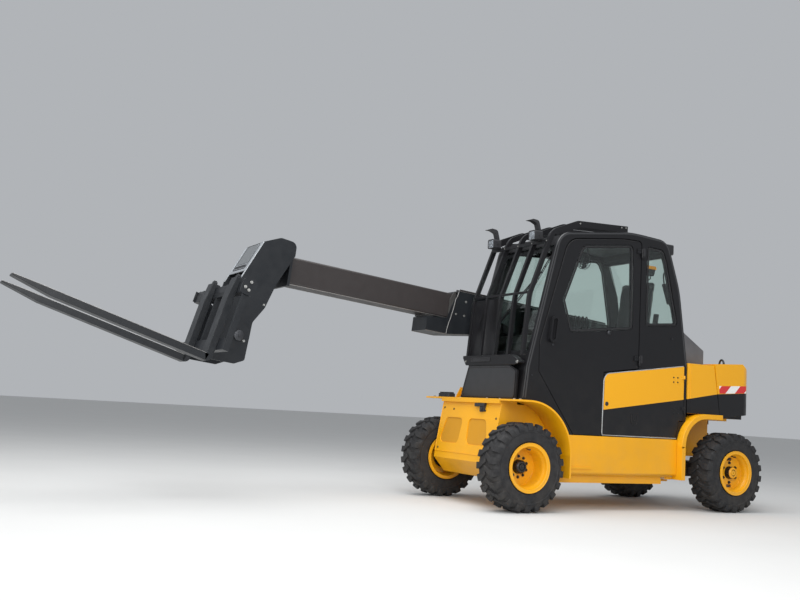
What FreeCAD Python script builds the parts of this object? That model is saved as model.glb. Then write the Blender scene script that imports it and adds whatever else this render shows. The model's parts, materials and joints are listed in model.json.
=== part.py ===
import FreeCAD, Part
import math
import os
import re
import Sketcher

# Compact telescopic-boom forklift, in millimetres
# X points to the machine's left, Y to its rear and Z up. The outlines below are
# measured from the front axle's centre on the ground, and every piece is then
# moved back by axle_y, so that the origin lies under the middle of the whole.

# Driving sizes: name, value and meaning. A value that starts with = follows others.
SIZES = [
    ("axle_y", 591, "front axle behind the origin"),
    ("wheelbase", 2210, "front axle to rear axle"),
    ("rear_foot", "=wheelbase - 447", "cab's rear edge at its foot"),
    ("cab_run", "=rear_foot / 1763", "cab's length over the drawn one, for its outlines' numbers"),
    ("front_track_half", 596, "front tyre's middle from the centre line"),
    ("rear_track_half", 617, "rear tyre's middle from the centre line"),
    ("tyre_radius", 343, "tyre out to the lugs' tips"),
    ("tyre_width", 242, "tyre over its shoulders"),
    ("lug_height", 18, "lug bars above the carcass"),
    ("lug_root", 28, "lug bars' root under their tops, inside the carcass"),
    ("lug_half", 4, "half a lug bar's top as seen from the axle, degrees"),
    ("lug_draft", 1.2, "lean of a lug bar's flank, degrees"),
    ("lug_end", 14, "lug bar's end inboard of the tyre's shoulder"),
    ("bead_radius", 172, "tyre's inner edge"),
    ("rim_radius", 191, "rim flange"),
    ("rim_half", 124, "rim flange's outer plane from the tyre's middle"),
    ("rim_wall", 8, "rim barrel plate"),
    ("rim_drop", 147, "rim's drop centre, inner radius"),
    ("slot_radius", 116, "rear disc's slots from the axle"),
    ("slot_half", 32, "rear disc's slot half length"),
    ("slot_rise", 13, "rear disc's slot half height"),
    ("disc_wall", 12, "wheel disc plate"),
    ("front_disc", 30, "front wheel disc inboard of the tyre's middle"),
    ("rear_disc", -45, "rear wheel disc inboard of the tyre's middle"),
    ("hub_radius", 52, "hub nose through the wheel disc"),
    ("hub_gap", 1.5, "hub nose to disc bore"),
    ("hub_nose", 45, "hub nose beyond the disc"),
    ("flange_radius", 96, "axle flange behind the wheel disc"),
    ("flange_wall", 20, "axle flange thickness"),
    ("stub_radius", 70, "axle stub beside the nose box"),
    ("nose_half", 435, "nose box half width"),
    ("nose_face_top", -88, "nose face at the deck"),
    ("nose_face_low", -156, "nose face at the crease"),
    ("nose_crease", 400, "crease above the chin"),
    ("nose_chin", 346, "chin's front edge"),
    ("nose_back", 408, "nose box back wall"),
    ("recess", 8, "recessed nose panels' depth"),
    ("recess_bend", 45, "recessed nose panels' corners"),
    ("recess_low", 478, "recessed nose panels' lower edge"),
    ("recess_top", 690, "recessed nose panels' upper edge"),
    ("belly", 222, "underside of nose, sills and belly"),
    ("deck_low", 822, "deck's underside"),
    ("deck_top", 860, "deck's top"),
    ("deck_back", 60, "deck's rear edge"),
    ("shell", 14, "welded plate of boxes and mudguards"),
    ("guard_half", 700, "mudguard's outer edge"),
    ("guard_front", -112, "mudguard's front edge"),
    ("guard_bend", 415, "radius of the mudguard's bend"),
    ("guard_end", 268, "mudguard's lower rear end"),
    ("sill_half", 577, "sill's outer face"),
    ("sill_inner", 436, "sill's inner face"),
    ("sill_top", 605, "sill's top"),
    ("sill_turn", 300, "start of the sill's lower turn-in"),
    ("sill_rail", 520, "recessed lower rail's face"),
    ("sill_front", 430, "sill's front end"),
    ("sill_back", "=wheelbase - 548", "sill's rear end"),
    ("sill_ledge", 290, "ledge along the sill's front, length"),
    ("sill_ledge_z", 338, "ledge along the sill's front, underside"),
    ("sill_step", 118, "sill's raised rear end, length"),
    ("sill_step_z", 264, "sill's raised rear end, underside"),
    ("frame_half", 300, "frame rails' outer face"),
    ("rail_wall", 60, "frame rail width"),
    ("rail_top", 470, "frame rail top"),
    ("frame_back", "=wheelbase - 510", "wide frame's rear end"),
    ("tail_half", 245, "narrow frame between the rear wheels"),
    ("tail_low", 455, "narrow frame's underside"),
    ("tail_top", 790, "narrow frame's top"),
    ("tail_back", "=wheelbase + 170", "narrow frame's rear end"),
    ("arch_half", 640, "rear mudguard's outer edge"),
    ("arch_front", "=wheelbase - 545", "rear mudguard's front face"),
    ("arch_top", 838, "rear mudguard's top"),
    ("arch_bend", 290, "rear mudguard's outer bend"),
    ("arch_band", 42, "rear mudguard's band"),
    ("arch_back", "=wheelbase - 60", "rear mudguard's rear end"),
    ("arch_inner", 470, "rear mudguard's inner edge"),
    ("hood_front", "=rear_foot + 12", "engine hood's front"),
    ("hood_top", 1275, "engine hood's top"),
    ("hood_right", -262, "engine hood's right side"),
    ("seam_top", "=wheelbase - 108", "seam to the counterweight at its top"),
    ("seam_low", "=wheelbase - 30", "seam to the counterweight at its foot"),
    ("seam_gap", 6, "open seam"),
    ("weight_top", 1290, "counterweight's top at the seam"),
    ("weight_rise", 22, "rise of the counterweight's top"),
    ("weight_back", "=wheelbase + 360", "counterweight's rear face"),
    ("weight_low", 812, "counterweight's underside"),
    ("weight_tuck", 48, "rise of the counterweight's underside to the rear"),
    ("weight_bend", 95, "counterweight's upright corners"),
    ("weight_notch", "=wheelbase + 5", "counterweight's front beside the boom"),
    ("grille_half", 230, "rear grille half width"),
    ("grille_low", 930, "rear grille's lower edge"),
    ("grille_top", 1210, "rear grille's upper edge"),
    ("grille_depth", 60, "rear grille's depth"),
    ("slat_pitch", 40, "rear grille slat to slat"),
    ("slat_wall", 12, "rear grille slat thickness"),
    ("cowl_top", 1572, "cowl behind the cab, highest edge"),
    ("cowl_back", "=wheelbase - 140", "cowl's rear face"),
    ("cowl_right", -120, "cowl's right side"),
    ("cowl_left", 470, "cowl's left side"),
    ("boom_x", -440, "boom's middle"),
    ("pivot_y", "=wheelbase - 130", "boom pivot behind the front axle"),
    ("pivot_z", 1457, "boom pivot's height"),
    ("pivot_radius", 38, "boom pivot pin"),
    ("boom_angle", 4.92, "boom's rise, degrees"),
    ("outer_half", 120, "outer boom half width"),
    ("outer_above", 142, "outer boom top over the axis"),
    ("outer_below", 178, "outer boom bottom under the axis"),
    ("outer_front", 2160, "outer boom's upper front end from the pivot"),
    ("outer_end", 128, "outer boom's rear end radius"),
    ("outer_wall", 12, "outer boom plate"),
    ("collar_lip", 2450, "outer boom's lower lip from the pivot"),
    ("collar_below", 252, "collar bottom under the axis"),
    ("collar_back", 1750, "collar's rear end from the pivot"),
    ("inner_half", 96, "inner boom half width"),
    ("inner_above", 111, "inner boom half height"),
    ("inner_wall", 12, "inner boom plate"),
    ("inner_back", 1625, "inner boom's rear end from the pivot"),
    ("retract", 1300, "boom travel back from the shown reach"),
    ("head_half", 205, "boom head over its side plates"),
    ("head_wall", 18, "boom head side plate"),
    ("head_reach", 3760, "boom head's datum from the pivot"),
    ("tilt_y", -357, "tilt pivot ahead of the head's datum"),
    ("tilt_z", -598, "tilt pivot under the head's datum"),
    ("tilt_pin", 28, "tilt pivot pin radius"),
    ("tilt_angle", 16.0, "carriage leaning back, degrees"),
    ("carriage_left", 480, "carriage left end"),
    ("carriage_wall", 42, "carriage bar thickness"),
    ("fork_face", -340, "fork shank front from the tilt pivot"),
    ("carriage_right", -672, "carriage right end"),
    ("fork_rise", 34, "rise of the fork blade to its tip"),
    ("fork_tip", 12, "fork tip thickness"),
    ("lug_gap", 5, "carriage lug to boom head plate"),
    ("ear_y", -130, "tilt rod pin from the tilt pivot"),
    ("ear_z", 250, "tilt rod pin over the tilt pivot"),
    ("base_y", -120, "tilt cylinder pin ahead of the head datum"),
    ("base_z", 110, "tilt cylinder pin over the head datum"),
    ("tilt_barrel", 36, "tilt cylinder barrel radius"),
    ("tilt_rod", 20, "tilt cylinder rod radius"),
    ("fork_x", 265, "fork's middle from the centre line"),
    ("fork_half", 58, "fork half width"),
    ("fork_wall", 50, "fork thickness at the heel"),
    ("fork_length", 1344, "fork blade ahead of its shank's face"),
    ("fork_low", -328, "fork underside under the tilt pivot"),
    ("fork_top", 298, "fork shank's top over the tilt pivot"),
    ("lift_base_y", 700, "lift cylinder's lower pin"),
    ("lift_base_z", 670, "lift cylinder's lower pin height"),
    ("lift_eye_y", 705, "lift rod's pin from the boom pivot"),
    ("lift_eye_z", -262, "lift rod's pin from the boom's axis"),
    ("lift_barrel", 55, "lift cylinder barrel radius"),
    ("lift_rod", 32, "lift cylinder rod radius"),
    ("lift_pin", 28, "lift cylinder pins"),
    ("tilt_eye_pin", 20, "tilt cylinder pins"),
    ("pin_gap", 0.5, "pin to bore"),
    ("king_x", 420, "kingpin from the centre line"),
    ("king_half", 74, "knuckle half height"),
    ("king_radius", 22, "kingpin"),
    ("beam_half", 62, "rear axle beam half height"),
    ("cab_left", 575, "cab's left face"),
    ("cab_right", -265, "cab's right face"),
    ("cab_wall", 48, "cab side frame thickness"),
    ("b_post", "=1198 * cab_run", "door's rear edge"),
    ("glass", 6, "glass thickness"),
    ("rebate", 12, "ledge that a pane rests on"),
    ("boom_drop", 12, "boom's lowering from the shown angle, degrees"),
    ("lift_neck", 124, "lift rod's pin to the barrel's end, closed"),
    ("tilt_length", 440, "tilt cylinder barrel's end from its pin"),
    ("lift_spare", 168, "lift rod's inner end to the barrel's pin, closed"),
    ("tilt_stroke", 400, "tilt cylinder rod from its pin to its inner end"),
    ("slide_gap", 0.4, "inner boom over the outer boom's floor"),
    ("shelf_top", 1218, "shelf under the windscreen, top"),
    ("bar_seat", 2336.65, "guard's rear feet on the roof frame"),
    ("bar_first", -270, "first guard bar"),
    ("bar_pitch", 196, "guard bar to guard bar"),
    ("lamp_right", -172, "right lamp's middle"),
    ("lamp_left", 420, "left lamp's middle"),
    ("seat_x", 155, "seat's middle"),
    ("seat_y", "=rear_foot - 703", "seat cushion's front edge"),
    ("steer_y", "=600 * cab_run", "steering wheel's middle"),
    ("steer_z", 1520, "steering wheel's middle height"),
    ("seat_base_top", 1330, "seat base's top"),
    ("pull_y", "=232 * cab_run", "door pull's lower front end"),
    ("door_foot", "=guard_bend + 112", "door's lower front corner"),
    ("floor_notch", 140, "cab floor's front edge beside the mudguard"),
    ("steer_radius", 175, "steering wheel"),
    ("steer_grip", 15, "steering wheel's grip radius"),
    ("steer_lean", 28, "steering wheel's tilt, degrees"),
    ("column_length", 150, "steering column under the wheel"),
    ("floor_z", 838, "cab floor"),
    ("seat_deck", 1250, "deck over the engine"),
    ("plate", 12, "cab floor plate"),
    ("door_gap", 7, "gap round the doors"),
    ("bar_half", 13, "guard bar half width"),
    ("bar_depth", 34, "guard bar depth"),
]

doc = FreeCAD.newDocument("forklift")
sheet = doc.addObject("Spreadsheet::Sheet", "Size")
for row, (name, number, meaning) in enumerate(SIZES, 1):
    sheet.set("A%d" % row, meaning)
    sheet.setAlias("B%d" % row, name)
for row, (name, number, meaning) in enumerate(SIZES, 1):
    sheet.set("B%d" % row, str(number))
doc.recompute()

FUNCTIONS = {"sin", "cos", "tan", "atan", "sqrt"}
NODES = []


def bound(text):
    """Text such as 'sill_top - shell' as an expression on the sheet."""
    def cell(match):
        word = match.group()
        return word if word in FUNCTIONS else "Size." + word
    return re.sub(r"[a-z][a-z_]+", cell, str(text))


def number_of(text):
    """The number that such a text stands for now."""
    return float(sheet.evalExpression(bound(text)))


def origin_plane(owner, role):
    for feature in owner.Origin.OriginFeatures:
        if feature.Role == role:
            return feature
    raise ValueError(role)


def draw(sketch, corners):
    """Closed outline of straight lines. Each corner is (across, up) or (across, up, radius)."""
    count = len(corners)
    points = [FreeCAD.Vector(number_of(c[0]), number_of(c[1]), 0) for c in corners]
    radii = [number_of(c[2]) if len(c) > 2 else 0.0 for c in corners]
    leave = []
    arrive = []
    arcs = []
    for i in range(count):
        before = (points[i - 1] - points[i]).normalize()
        after = (points[(i + 1) % count] - points[i]).normalize()
        if not radii[i]:
            arrive.append(points[i])
            leave.append(points[i])
            arcs.append(None)
            continue
        half = before.getAngle(after) / 2
        trim = radii[i] / math.tan(half)
        first = points[i] + before * trim
        last = points[i] + after * trim
        middle = points[i] + (before + after).normalize() * (radii[i] / math.sin(half))
        turns_left = before.cross(after).z < 0
        start, end = (first, last) if turns_left else (last, first)
        circle = Part.Circle(middle, FreeCAD.Vector(0, 0, 1), radii[i])
        arc = Part.ArcOfCircle(circle, circle.parameter(start), circle.parameter(end))
        arrive.append(first)
        leave.append(last)
        arcs.append((arc, turns_left))
    lines = [
        sketch.addGeometry(Part.LineSegment(leave[i], arrive[(i + 1) % count]), False)
        for i in range(count)
    ]
    for i in range(count):
        into = lines[i - 1]
        out = lines[i]
        if arcs[i] is None:
            sketch.addConstraint(Sketcher.Constraint("Coincident", into, 2, out, 1))
            holder = (out, 1)
        else:
            arc, turns_left = arcs[i]
            bend = sketch.addGeometry(arc, False)
            ends = (1, 2) if turns_left else (2, 1)
            sketch.addConstraint(Sketcher.Constraint("Tangent", into, 2, bend, ends[0]))
            sketch.addConstraint(Sketcher.Constraint("Tangent", out, 1, bend, ends[1]))
            radius = sketch.addConstraint(Sketcher.Constraint("Radius", bend, radii[i]))
            sketch.setExpression("Constraints[%d]" % radius, bound(corners[i][2]))
            corner = sketch.addGeometry(Part.Point(points[i]), True)
            sketch.addConstraint(Sketcher.Constraint("PointOnObject", corner, 1, into))
            sketch.addConstraint(Sketcher.Constraint("PointOnObject", corner, 1, out))
            holder = (corner, 1)
        for kind, size, text in (
            ("DistanceX", points[i].x, corners[i][0]),
            ("DistanceY", points[i].y, corners[i][1]),
        ):
            index = sketch.addConstraint(
                Sketcher.Constraint(kind, -1, 1, holder[0], holder[1], size)
            )
            sketch.setExpression("Constraints[%d]" % index, bound(text))


def add_sketch(owner, role, start):
    """Sketch on one of the body's own planes, start along that plane's axis."""
    sketch = owner.newObject("Sketcher::SketchObject", owner.Name + "_sketch")
    sketch.AttachmentSupport = [(origin_plane(owner, role), "")]
    sketch.MapMode = "FlatFace"
    sign = "-" if role == "XZ_Plane" else ""
    sketch.setExpression("AttachmentOffset.Base.z", bound("%s(%s)" % (sign, start)))
    return sketch


def pad(owner, role, corners, start, end):
    """Prism of an outline from start to end along the axis that the plane lacks."""
    sketch = add_sketch(owner, role, start)
    draw(sketch, corners)
    feature = owner.newObject("PartDesign::Pad", owner.Name + "_pad")
    feature.Profile = sketch
    feature.Reversed = role == "XZ_Plane"
    feature.setExpression("Length", bound("(%s) - (%s)" % (end, start)))
    sketch.Visibility = False
    return feature


def pocket(owner, role, corners, start, end):
    """Cut of an outline from start to end, checked to take something away."""
    doc.recompute()
    before = owner.Shape.Volume
    sketch = add_sketch(owner, role, start)
    draw(sketch, corners)
    feature = owner.newObject("PartDesign::Pocket", owner.Name + "_pocket")
    feature.Profile = sketch
    feature.Reversed = role != "XZ_Plane"
    feature.setExpression("Length", bound("(%s) - (%s)" % (end, start)))
    doc.recompute()
    if owner.Shape.Volume >= before:
        raise ValueError("a pocket in %s cuts nothing" % owner.Label)
    return feature


def turn(owner, role, corners, axis):
    """Revolution of an outline about the sketch's H_Axis or V_Axis."""
    sketch = add_sketch(owner, role, "0")
    draw(sketch, corners)
    feature = owner.newObject("PartDesign::Revolution", owner.Name + "_turned")
    feature.Profile = sketch
    feature.ReferenceAxis = (sketch, [axis])
    feature.Angle = 360
    return feature


def new_body(name):
    owner = doc.addObject("PartDesign::Body", name)
    owner.Label = name
    return owner


def prism(name, role, corners, start, end):
    owner = new_body(name)
    pad(owner, role, corners, start, end)
    return owner


def box(name, x_from, x_to, y_from, y_to, z_from, z_to):
    item = doc.addObject("Part::Box", name)
    for size, low, high in (
        ("Length", x_from, x_to),
        ("Width", y_from, y_to),
        ("Height", z_from, z_to),
    ):
        item.setExpression(size, bound("(%s) - (%s)" % (high, low)))
    for axis, low in (("x", x_from), ("y", y_from), ("z", z_from)):
        item.setExpression("Placement.Base." + axis, bound(low))
    return item


AXIS_TURN = {
    "x": FreeCAD.Rotation(FreeCAD.Vector(0, 1, 0), 90),
    "y": FreeCAD.Rotation(FreeCAD.Vector(1, 0, 0), -90),
    "z": FreeCAD.Rotation(),
}


def rod(name, axis, radius, start, end, x="0", y="0", z="0"):
    """Cylinder along an axis from start to end, through the point x, y, z."""
    item = doc.addObject("Part::Cylinder", name)
    item.setExpression("Radius", bound(radius))
    item.setExpression("Height", bound("(%s) - (%s)" % (end, start)))
    item.Placement = FreeCAD.Placement(FreeCAD.Vector(), AXIS_TURN[axis])
    place = {"x": x, "y": y, "z": z}
    place[axis] = start
    for word, text in place.items():
        item.setExpression("Placement.Base." + word, bound(text))
    return item


def fuse(name, pieces):
    item = doc.addObject("Part::MultiFuse", name)
    item.Shapes = pieces
    item.Refine = True
    return item


def cut(name, base, tool):
    item = doc.addObject("Part::Cut", name)
    item.Base = base
    item.Tool = tool
    return item


def common(name, base, tool):
    item = doc.addObject("Part::Common", name)
    item.Base = base
    item.Tool = tool
    return item


def group(name, pieces):
    item = doc.addObject("Part::Compound", name)
    item.Links = pieces
    return item


def hand_in(item, label, x="0", y="0", z="0", lean=None):
    """Make an item a sub-part: its label, its place, and its lean with the front going up."""
    item.Label = label
    if lean is not None:
        axis = FreeCAD.Vector(-1, 0, 0)
        item.Placement = FreeCAD.Placement(FreeCAD.Vector(), FreeCAD.Rotation(axis, number_of(lean)))
        item.setExpression("Placement.Rotation.Angle", bound(lean))
    item.setExpression("Placement.Base.x", bound(x))
    item.setExpression("Placement.Base.y", bound("axle_y + (%s)" % y))
    item.setExpression("Placement.Base.z", bound(z))
    NODES.append(item)
    return item


SIDES = (("left", 1), ("right", -1))


# Wheels
LUGS = 22


def lug_ring(name, first, low, high):
    """Toothed prism whose teeth are the lug bars of one half of the tyre."""
    corners = []
    for index in range(LUGS):
        middle = "%.6f" % (first + index * 360 / LUGS)
        for shift, radius in (
            ("-lug_half - lug_draft", "tyre_radius - lug_root"),
            ("-lug_half", "tyre_radius / cos(lug_half)"),
            ("lug_half", "tyre_radius / cos(lug_half)"),
            ("lug_half + lug_draft", "tyre_radius - lug_root"),
        ):
            angle = "%s + (%s)" % (middle, shift)
            corners.append(("(%s) * sin(%s)" % (radius, angle), "-(%s) * cos(%s)" % (radius, angle)))
    return prism(name, "YZ_Plane", corners, low, high)


# Half the carcass: place inboard of the tyre's edge, and radius
CARCASS = (
    ("17", "bead_radius"),
    ("3", "bead_radius + 33"),
    ("0", "bead_radius + 72"),
    ("0", "tyre_radius - 58"),
    ("9", "tyre_radius - 33"),
    ("26", "tyre_radius - lug_height"),
)
half = "tyre_width / 2"
carcass = new_body("tyre_carcass")
turn(carcass, "XZ_Plane", [
    ("%s - %s" % (half, inboard), radius) for inboard, radius in CARCASS
] + [
    ("%s - (%s)" % (inboard, half), radius) for inboard, radius in reversed(CARCASS)
], "H_Axis")
tread = fuse("tyre_tread", [
    carcass,
    lug_ring("lugs_left", 0, "0", "%s - lug_end" % half),
    lug_ring("lugs_right", 180 / LUGS, "-(%s) + lug_end" % half, "0"),
])
tyre = cut("tyre_whole", tread, rod("tyre_bore", "x", "bead_radius", "-(%s)" % half, half))


def rim(label, side, track, y, disc, slots=()):
    """Flanges, drop centre and disc in one turned profile, and slots beside the hub."""
    owner = new_body("rim_body_" + label)
    barrel = "bead_radius - rim_wall - 0.5"
    faces = ("%d * (-(%s) - disc_wall - 4)" % (side, disc), "%d * (4 - (%s))" % (side, disc))
    low, high = sorted(faces, key=number_of)

    def at(text):
        return "%d * (%s)" % (side, text)

    outline = [
        (at("-rim_half"), "rim_radius"),
        (at("-rim_half"), barrel),
        (at("-rim_half + 20"), barrel + " - 3"),
        (at("-rim_half + 46"), "rim_drop"),
        (at("-(%s) - disc_wall" % disc), "rim_drop"),
        (at("-(%s) - disc_wall" % disc), "hub_radius + hub_gap"),
        (at("-(%s)" % disc), "hub_radius + hub_gap"),
        (at("-(%s)" % disc), "rim_drop"),
        (at("rim_half - 46"), "rim_drop"),
        (at("rim_half - 20"), barrel + " - 3"),
        (at("rim_half"), barrel),
        (at("rim_half"), "rim_radius"),
        (at("rim_half - rim_wall"), "rim_radius"),
        (at("rim_half - rim_wall"), "bead_radius - 0.5"),
        (at("-rim_half + rim_wall"), "bead_radius - 0.5"),
        (at("-rim_half + rim_wall"), "rim_radius"),
    ]
    turn(owner, "XZ_Plane", outline, "H_Axis")
    for up in slots:
        middle = "%d * slot_radius" % up
        pocket(owner, "YZ_Plane", [
            ("-slot_half", middle + " - slot_rise", "slot_rise - 1"),
            ("slot_half", middle + " - slot_rise", "slot_rise - 1"),
            ("slot_half", middle + " + slot_rise", "slot_rise - 1"),
            ("-slot_half", middle + " + slot_rise", "slot_rise - 1"),
        ], low, high)
    hand_in(owner, "rim_" + label, "%d * %s" % (side, track), y, "tyre_radius")


for word, side in SIDES:
    hand_in(group("tyre_group_front_" + word, [tyre]), "tyre_front_" + word,
            "%d * front_track_half" % side, "0", "tyre_radius")
    rim("front_" + word, side, "front_track_half", "0", "front_disc")
    hand_in(group("tyre_group_rear_" + word, [tyre]), "tyre_rear_" + word,
            "%d * rear_track_half" % side, "wheelbase", "tyre_radius")
    rim("rear_" + word, side, "rear_track_half", "wheelbase", "rear_disc", (1, -1))


# Front axle: the two ends that stand out of the nose box
def axle_end(name, side, start, flange_face):
    """Stub from start to the wheel disc, with its flange and the hub nose."""
    owner = new_body(name)
    turn(owner, "XZ_Plane", [
        ("%d * (%s)" % (side, start), "0"),
        ("%d * (%s)" % (side, start), "stub_radius"),
        ("%d * (%s - flange_wall)" % (side, flange_face), "stub_radius - 12"),
        ("%d * (%s - flange_wall)" % (side, flange_face), "flange_radius"),
        ("%d * (%s)" % (side, flange_face), "flange_radius"),
        ("%d * (%s)" % (side, flange_face), "hub_radius"),
        ("%d * (%s + disc_wall + hub_nose)" % (side, flange_face), "hub_radius", "10"),
        ("%d * (%s + disc_wall + hub_nose)" % (side, flange_face), "0"),
    ], "H_Axis")
    return owner


front_face = "front_track_half - front_disc - disc_wall"
ends = [axle_end("front_stub_" + word, side, "nose_half", front_face) for word, side in SIDES]
hand_in(group("front_axle_ends", ends), "front_axle", "0", "0", "tyre_radius")

# Rear axle: beam, centre bracket and the forked ends that hold the kingpins
beam = prism("rear_beam", "XZ_Plane", [
    ("-king_x + 62", "-beam_half"),
    ("-110", "-beam_half - 18"),
    ("110", "-beam_half - 18"),
    ("king_x - 62", "-beam_half"),
    ("king_x - 62", "beam_half"),
    ("110", "beam_half + 6"),
    ("-110", "beam_half + 6"),
    ("-king_x + 62", "beam_half"),
], "-70", "70")
pieces = [beam]
pieces.append(box("rear_bracket", "-80", "80", "-60", "60", "beam_half", "tail_low - tyre_radius"))
for word, side in SIDES:
    for level, low, high in (
        ("top", "king_half + 1", "king_half + 25"),
        ("foot", "-king_half - 25", "-king_half - 1"),
    ):
        pieces.append(prism("yoke_%s_%s" % (level, word), "XY_Plane", [
            ("%d * (king_x - 100)" % side, "-60"),
            ("%d * (king_x - 20)" % side, "-45"),
            ("%d * (king_x + 44)" % side, "-44", "30"),
            ("%d * (king_x + 44)" % side, "44", "30"),
            ("%d * (king_x - 20)" % side, "45"),
            ("%d * (king_x - 100)" % side, "60"),
        ], low, high))
    pieces.append(box("yoke_web_" + word, "%d * king_x - %d" % (side, 100 if side > 0 else -62),
                      "%d * king_x - %d" % (side, 62 if side > 0 else -100),
                      "-60", "60", "-king_half - 25", "king_half + 25"))
    pieces.append(rod("kingpin_" + word, "z", "king_radius", "-king_half - 34", "king_half + 34",
                      "%d * king_x" % side))
hand_in(fuse("rear_axle_parts", pieces), "rear_axle", "0", "wheelbase", "tyre_radius")

# Rear knuckles: a block on the kingpin and the stub that carries the wheel
for word, side in SIDES:
    stub = axle_end("knuckle_stub_" + word, side, "30", "rear_track_half - rear_disc - disc_wall - king_x")
    block = rod("knuckle_block_" + word, "z", "48", "-king_half", "king_half")
    bore = rod("knuckle_bore_" + word, "z", "king_radius + pin_gap", "-king_half - 5", "king_half + 5")
    whole = cut("knuckle_cut_" + word, fuse("knuckle_fuse_" + word, [block, stub]), bore)
    hand_in(whole, "knuckle_" + word, "%d * king_x" % side, "wheelbase", "tyre_radius")

# Chassis: nose box, frame rails, belly and the narrow tail between the rear wheels
nose = new_body("nose_box")
pad(nose, "YZ_Plane", [
    ("nose_face_top", "deck_low"),
    ("nose_face_low", "nose_crease"),
    ("nose_face_low - 6", "nose_chin"),
    ("nose_face_top + 40", "belly", "30"),
    ("nose_back", "belly"),
    ("nose_back", "deck_low - 190", "120"),
    ("nose_back - 200", "deck_low"),
], "-nose_half", "nose_half")
pocket(nose, "YZ_Plane", [
    ("nose_face_top + 20", "deck_low - shell"),
    ("nose_face_low + 20", "nose_crease"),
    ("nose_face_top + 60", "belly + shell"),
    ("nose_back - shell", "belly + shell"),
    ("nose_back - shell", "deck_low - 190 - shell"),
    ("nose_back - 200 - shell", "deck_low - shell"),
], "-nose_half + shell", "nose_half - shell")
face_lean = "(nose_face_low - nose_face_top) / (deck_low - nose_crease)"
face_low = "nose_face_top + (deck_low - recess_low) * " + face_lean
face_top = "nose_face_top + (deck_low - recess_top) * " + face_lean
panels = []
# Recessed panel: name, then the ends of its upper and of its lower edge
for word, top_from, top_to, low_from, low_to in (
    ("right", "-337", "-82", "-408", "-104"),
    ("left", "0", "256", "22", "328"),
):
    panels.append(prism("recess_" + word, "XZ_Plane", [
        (top_from, "recess_top", "recess_bend"),
        (top_to, "recess_top", "recess_bend"),
        (low_to, "recess_low", "recess_bend"),
        (low_from, "recess_low", "recess_bend"),
    ], "nose_face_low - 30", "nose_face_top + 30"))
slab = prism("recess_slab", "YZ_Plane", [
    (face_low + " - 40", "recess_low"),
    (face_low + " + recess", "recess_low"),
    (face_top + " + recess", "recess_top"),
    (face_top + " - 40", "recess_top"),
], "-nose_half", "nose_half")
nose = cut("nose_recessed", nose, common("recess_tool", fuse("recess_panels", panels), slab))
rails = []
for word, low, high in (
    ("left", "frame_half - rail_wall", "frame_half"),
    ("right", "-frame_half", "-frame_half + rail_wall"),
):
    rails.append(box("rail_" + word, low, high, "nose_back - 1", "frame_back", "belly + 30", "rail_top"))
cross = []
for index, y in enumerate(("nose_back + 240", "frame_back - 420", "frame_back - 60")):
    cross.append(box("cross_%d" % index, "-frame_half + 1", "frame_half - 1", y, y + " + 60",
                     "belly + 40", "rail_top - 10"))
tray = box("belly_plate", "-sill_inner", "sill_inner", "nose_back - 1", "frame_back",
           "belly + 18", "belly + 31")
cap = box("tail_cap", "-arch_inner", "arch_inner", "frame_back + 8", "tail_back",
          "tail_top - 1", "weight_low")
tail = new_body("tail_box")
pad(tail, "YZ_Plane", [
    ("frame_back - 90", "tail_low"),
    ("tail_back", "tail_low"),
    ("tail_back", "tail_top"),
    ("frame_back - 90", "tail_top"),
], "-tail_half", "tail_half")
pocket(tail, "YZ_Plane", [
    ("frame_back - 60", "tail_low + shell"),
    ("tail_back - shell", "tail_low + shell"),
    ("tail_back - shell", "tail_top - shell"),
    ("frame_back - 60", "tail_top - shell"),
], "-tail_half + shell", "tail_half - shell")
hand_in(fuse("chassis_parts", [nose, tray, tail, cap] + rails + cross), "chassis_frame")

# Front mudguards and the deck between them
deck = box("deck", "-nose_half", "nose_half", "nose_face_top - 24", "deck_back", "deck_low", "deck_top")
guards = [deck]
for word, side in SIDES:
    low, high = ("nose_half", "guard_half") if side > 0 else ("-guard_half", "-nose_half")
    guards.append(prism("guard_" + word, "YZ_Plane", [
        ("guard_front", "deck_top - 14"),
        ("guard_front", "deck_top"),
        ("guard_bend", "deck_top", "guard_bend"),
        ("guard_bend", "guard_end"),
        ("guard_bend - shell", "guard_end"),
        ("guard_bend - shell", "deck_top - shell", "guard_bend - shell"),
    ], low, high))
hand_in(fuse("front_guards", guards), "front_mudguards")

# Side sills
sills = []
for word, side in SIDES:
    def out(text, side=side):
        return "%d * (%s)" % (side, text)
    sill = prism("sill_" + word, "XZ_Plane", [
        (out("sill_inner"), "belly"),
        (out("sill_rail"), "belly"),
        (out("sill_rail"), "sill_turn - 24"),
        (out("sill_half"), "sill_turn", "22"),
        (out("sill_half"), "sill_top"),
        (out("sill_inner"), "sill_top"),
    ], "sill_front", "sill_back")
    pocket(sill, "YZ_Plane", [
        ("sill_back - sill_step", "belly - 5"),
        ("sill_back + 5", "belly - 5"),
        ("sill_back + 5", "sill_step_z"),
        ("sill_back - sill_step", "sill_step_z"),
    ], "-sill_half - 5", "sill_half + 5")
    low, high = sorted((out("sill_half - 1"), out("sill_half + 8")), key=number_of)
    ledge = box("ledge_" + word, low, high, "sill_front", "sill_front + sill_ledge",
                "sill_ledge_z", "sill_ledge_z + shell")
    sills.append(fuse("sill_whole_" + word, [sill, ledge]))
hand_in(group("sills", sills), "side_sills")

# Rear mudguards
arches = []
for word, side in SIDES:
    low, high = ("arch_inner", "arch_half") if side > 0 else ("-arch_half", "-arch_inner")
    arches.append(prism("arch_" + word, "YZ_Plane", [
        ("arch_front", "belly + 42"),
        ("arch_front + arch_band", "belly + 42"),
        ("arch_front + arch_band", "arch_top - arch_band", "arch_bend - arch_band"),
        ("arch_back", "arch_top - arch_band"),
        ("arch_back", "arch_top"),
        ("arch_front", "arch_top", "arch_bend"),
    ], low, high))
hand_in(group("arches", arches), "rear_mudguards")

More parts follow.
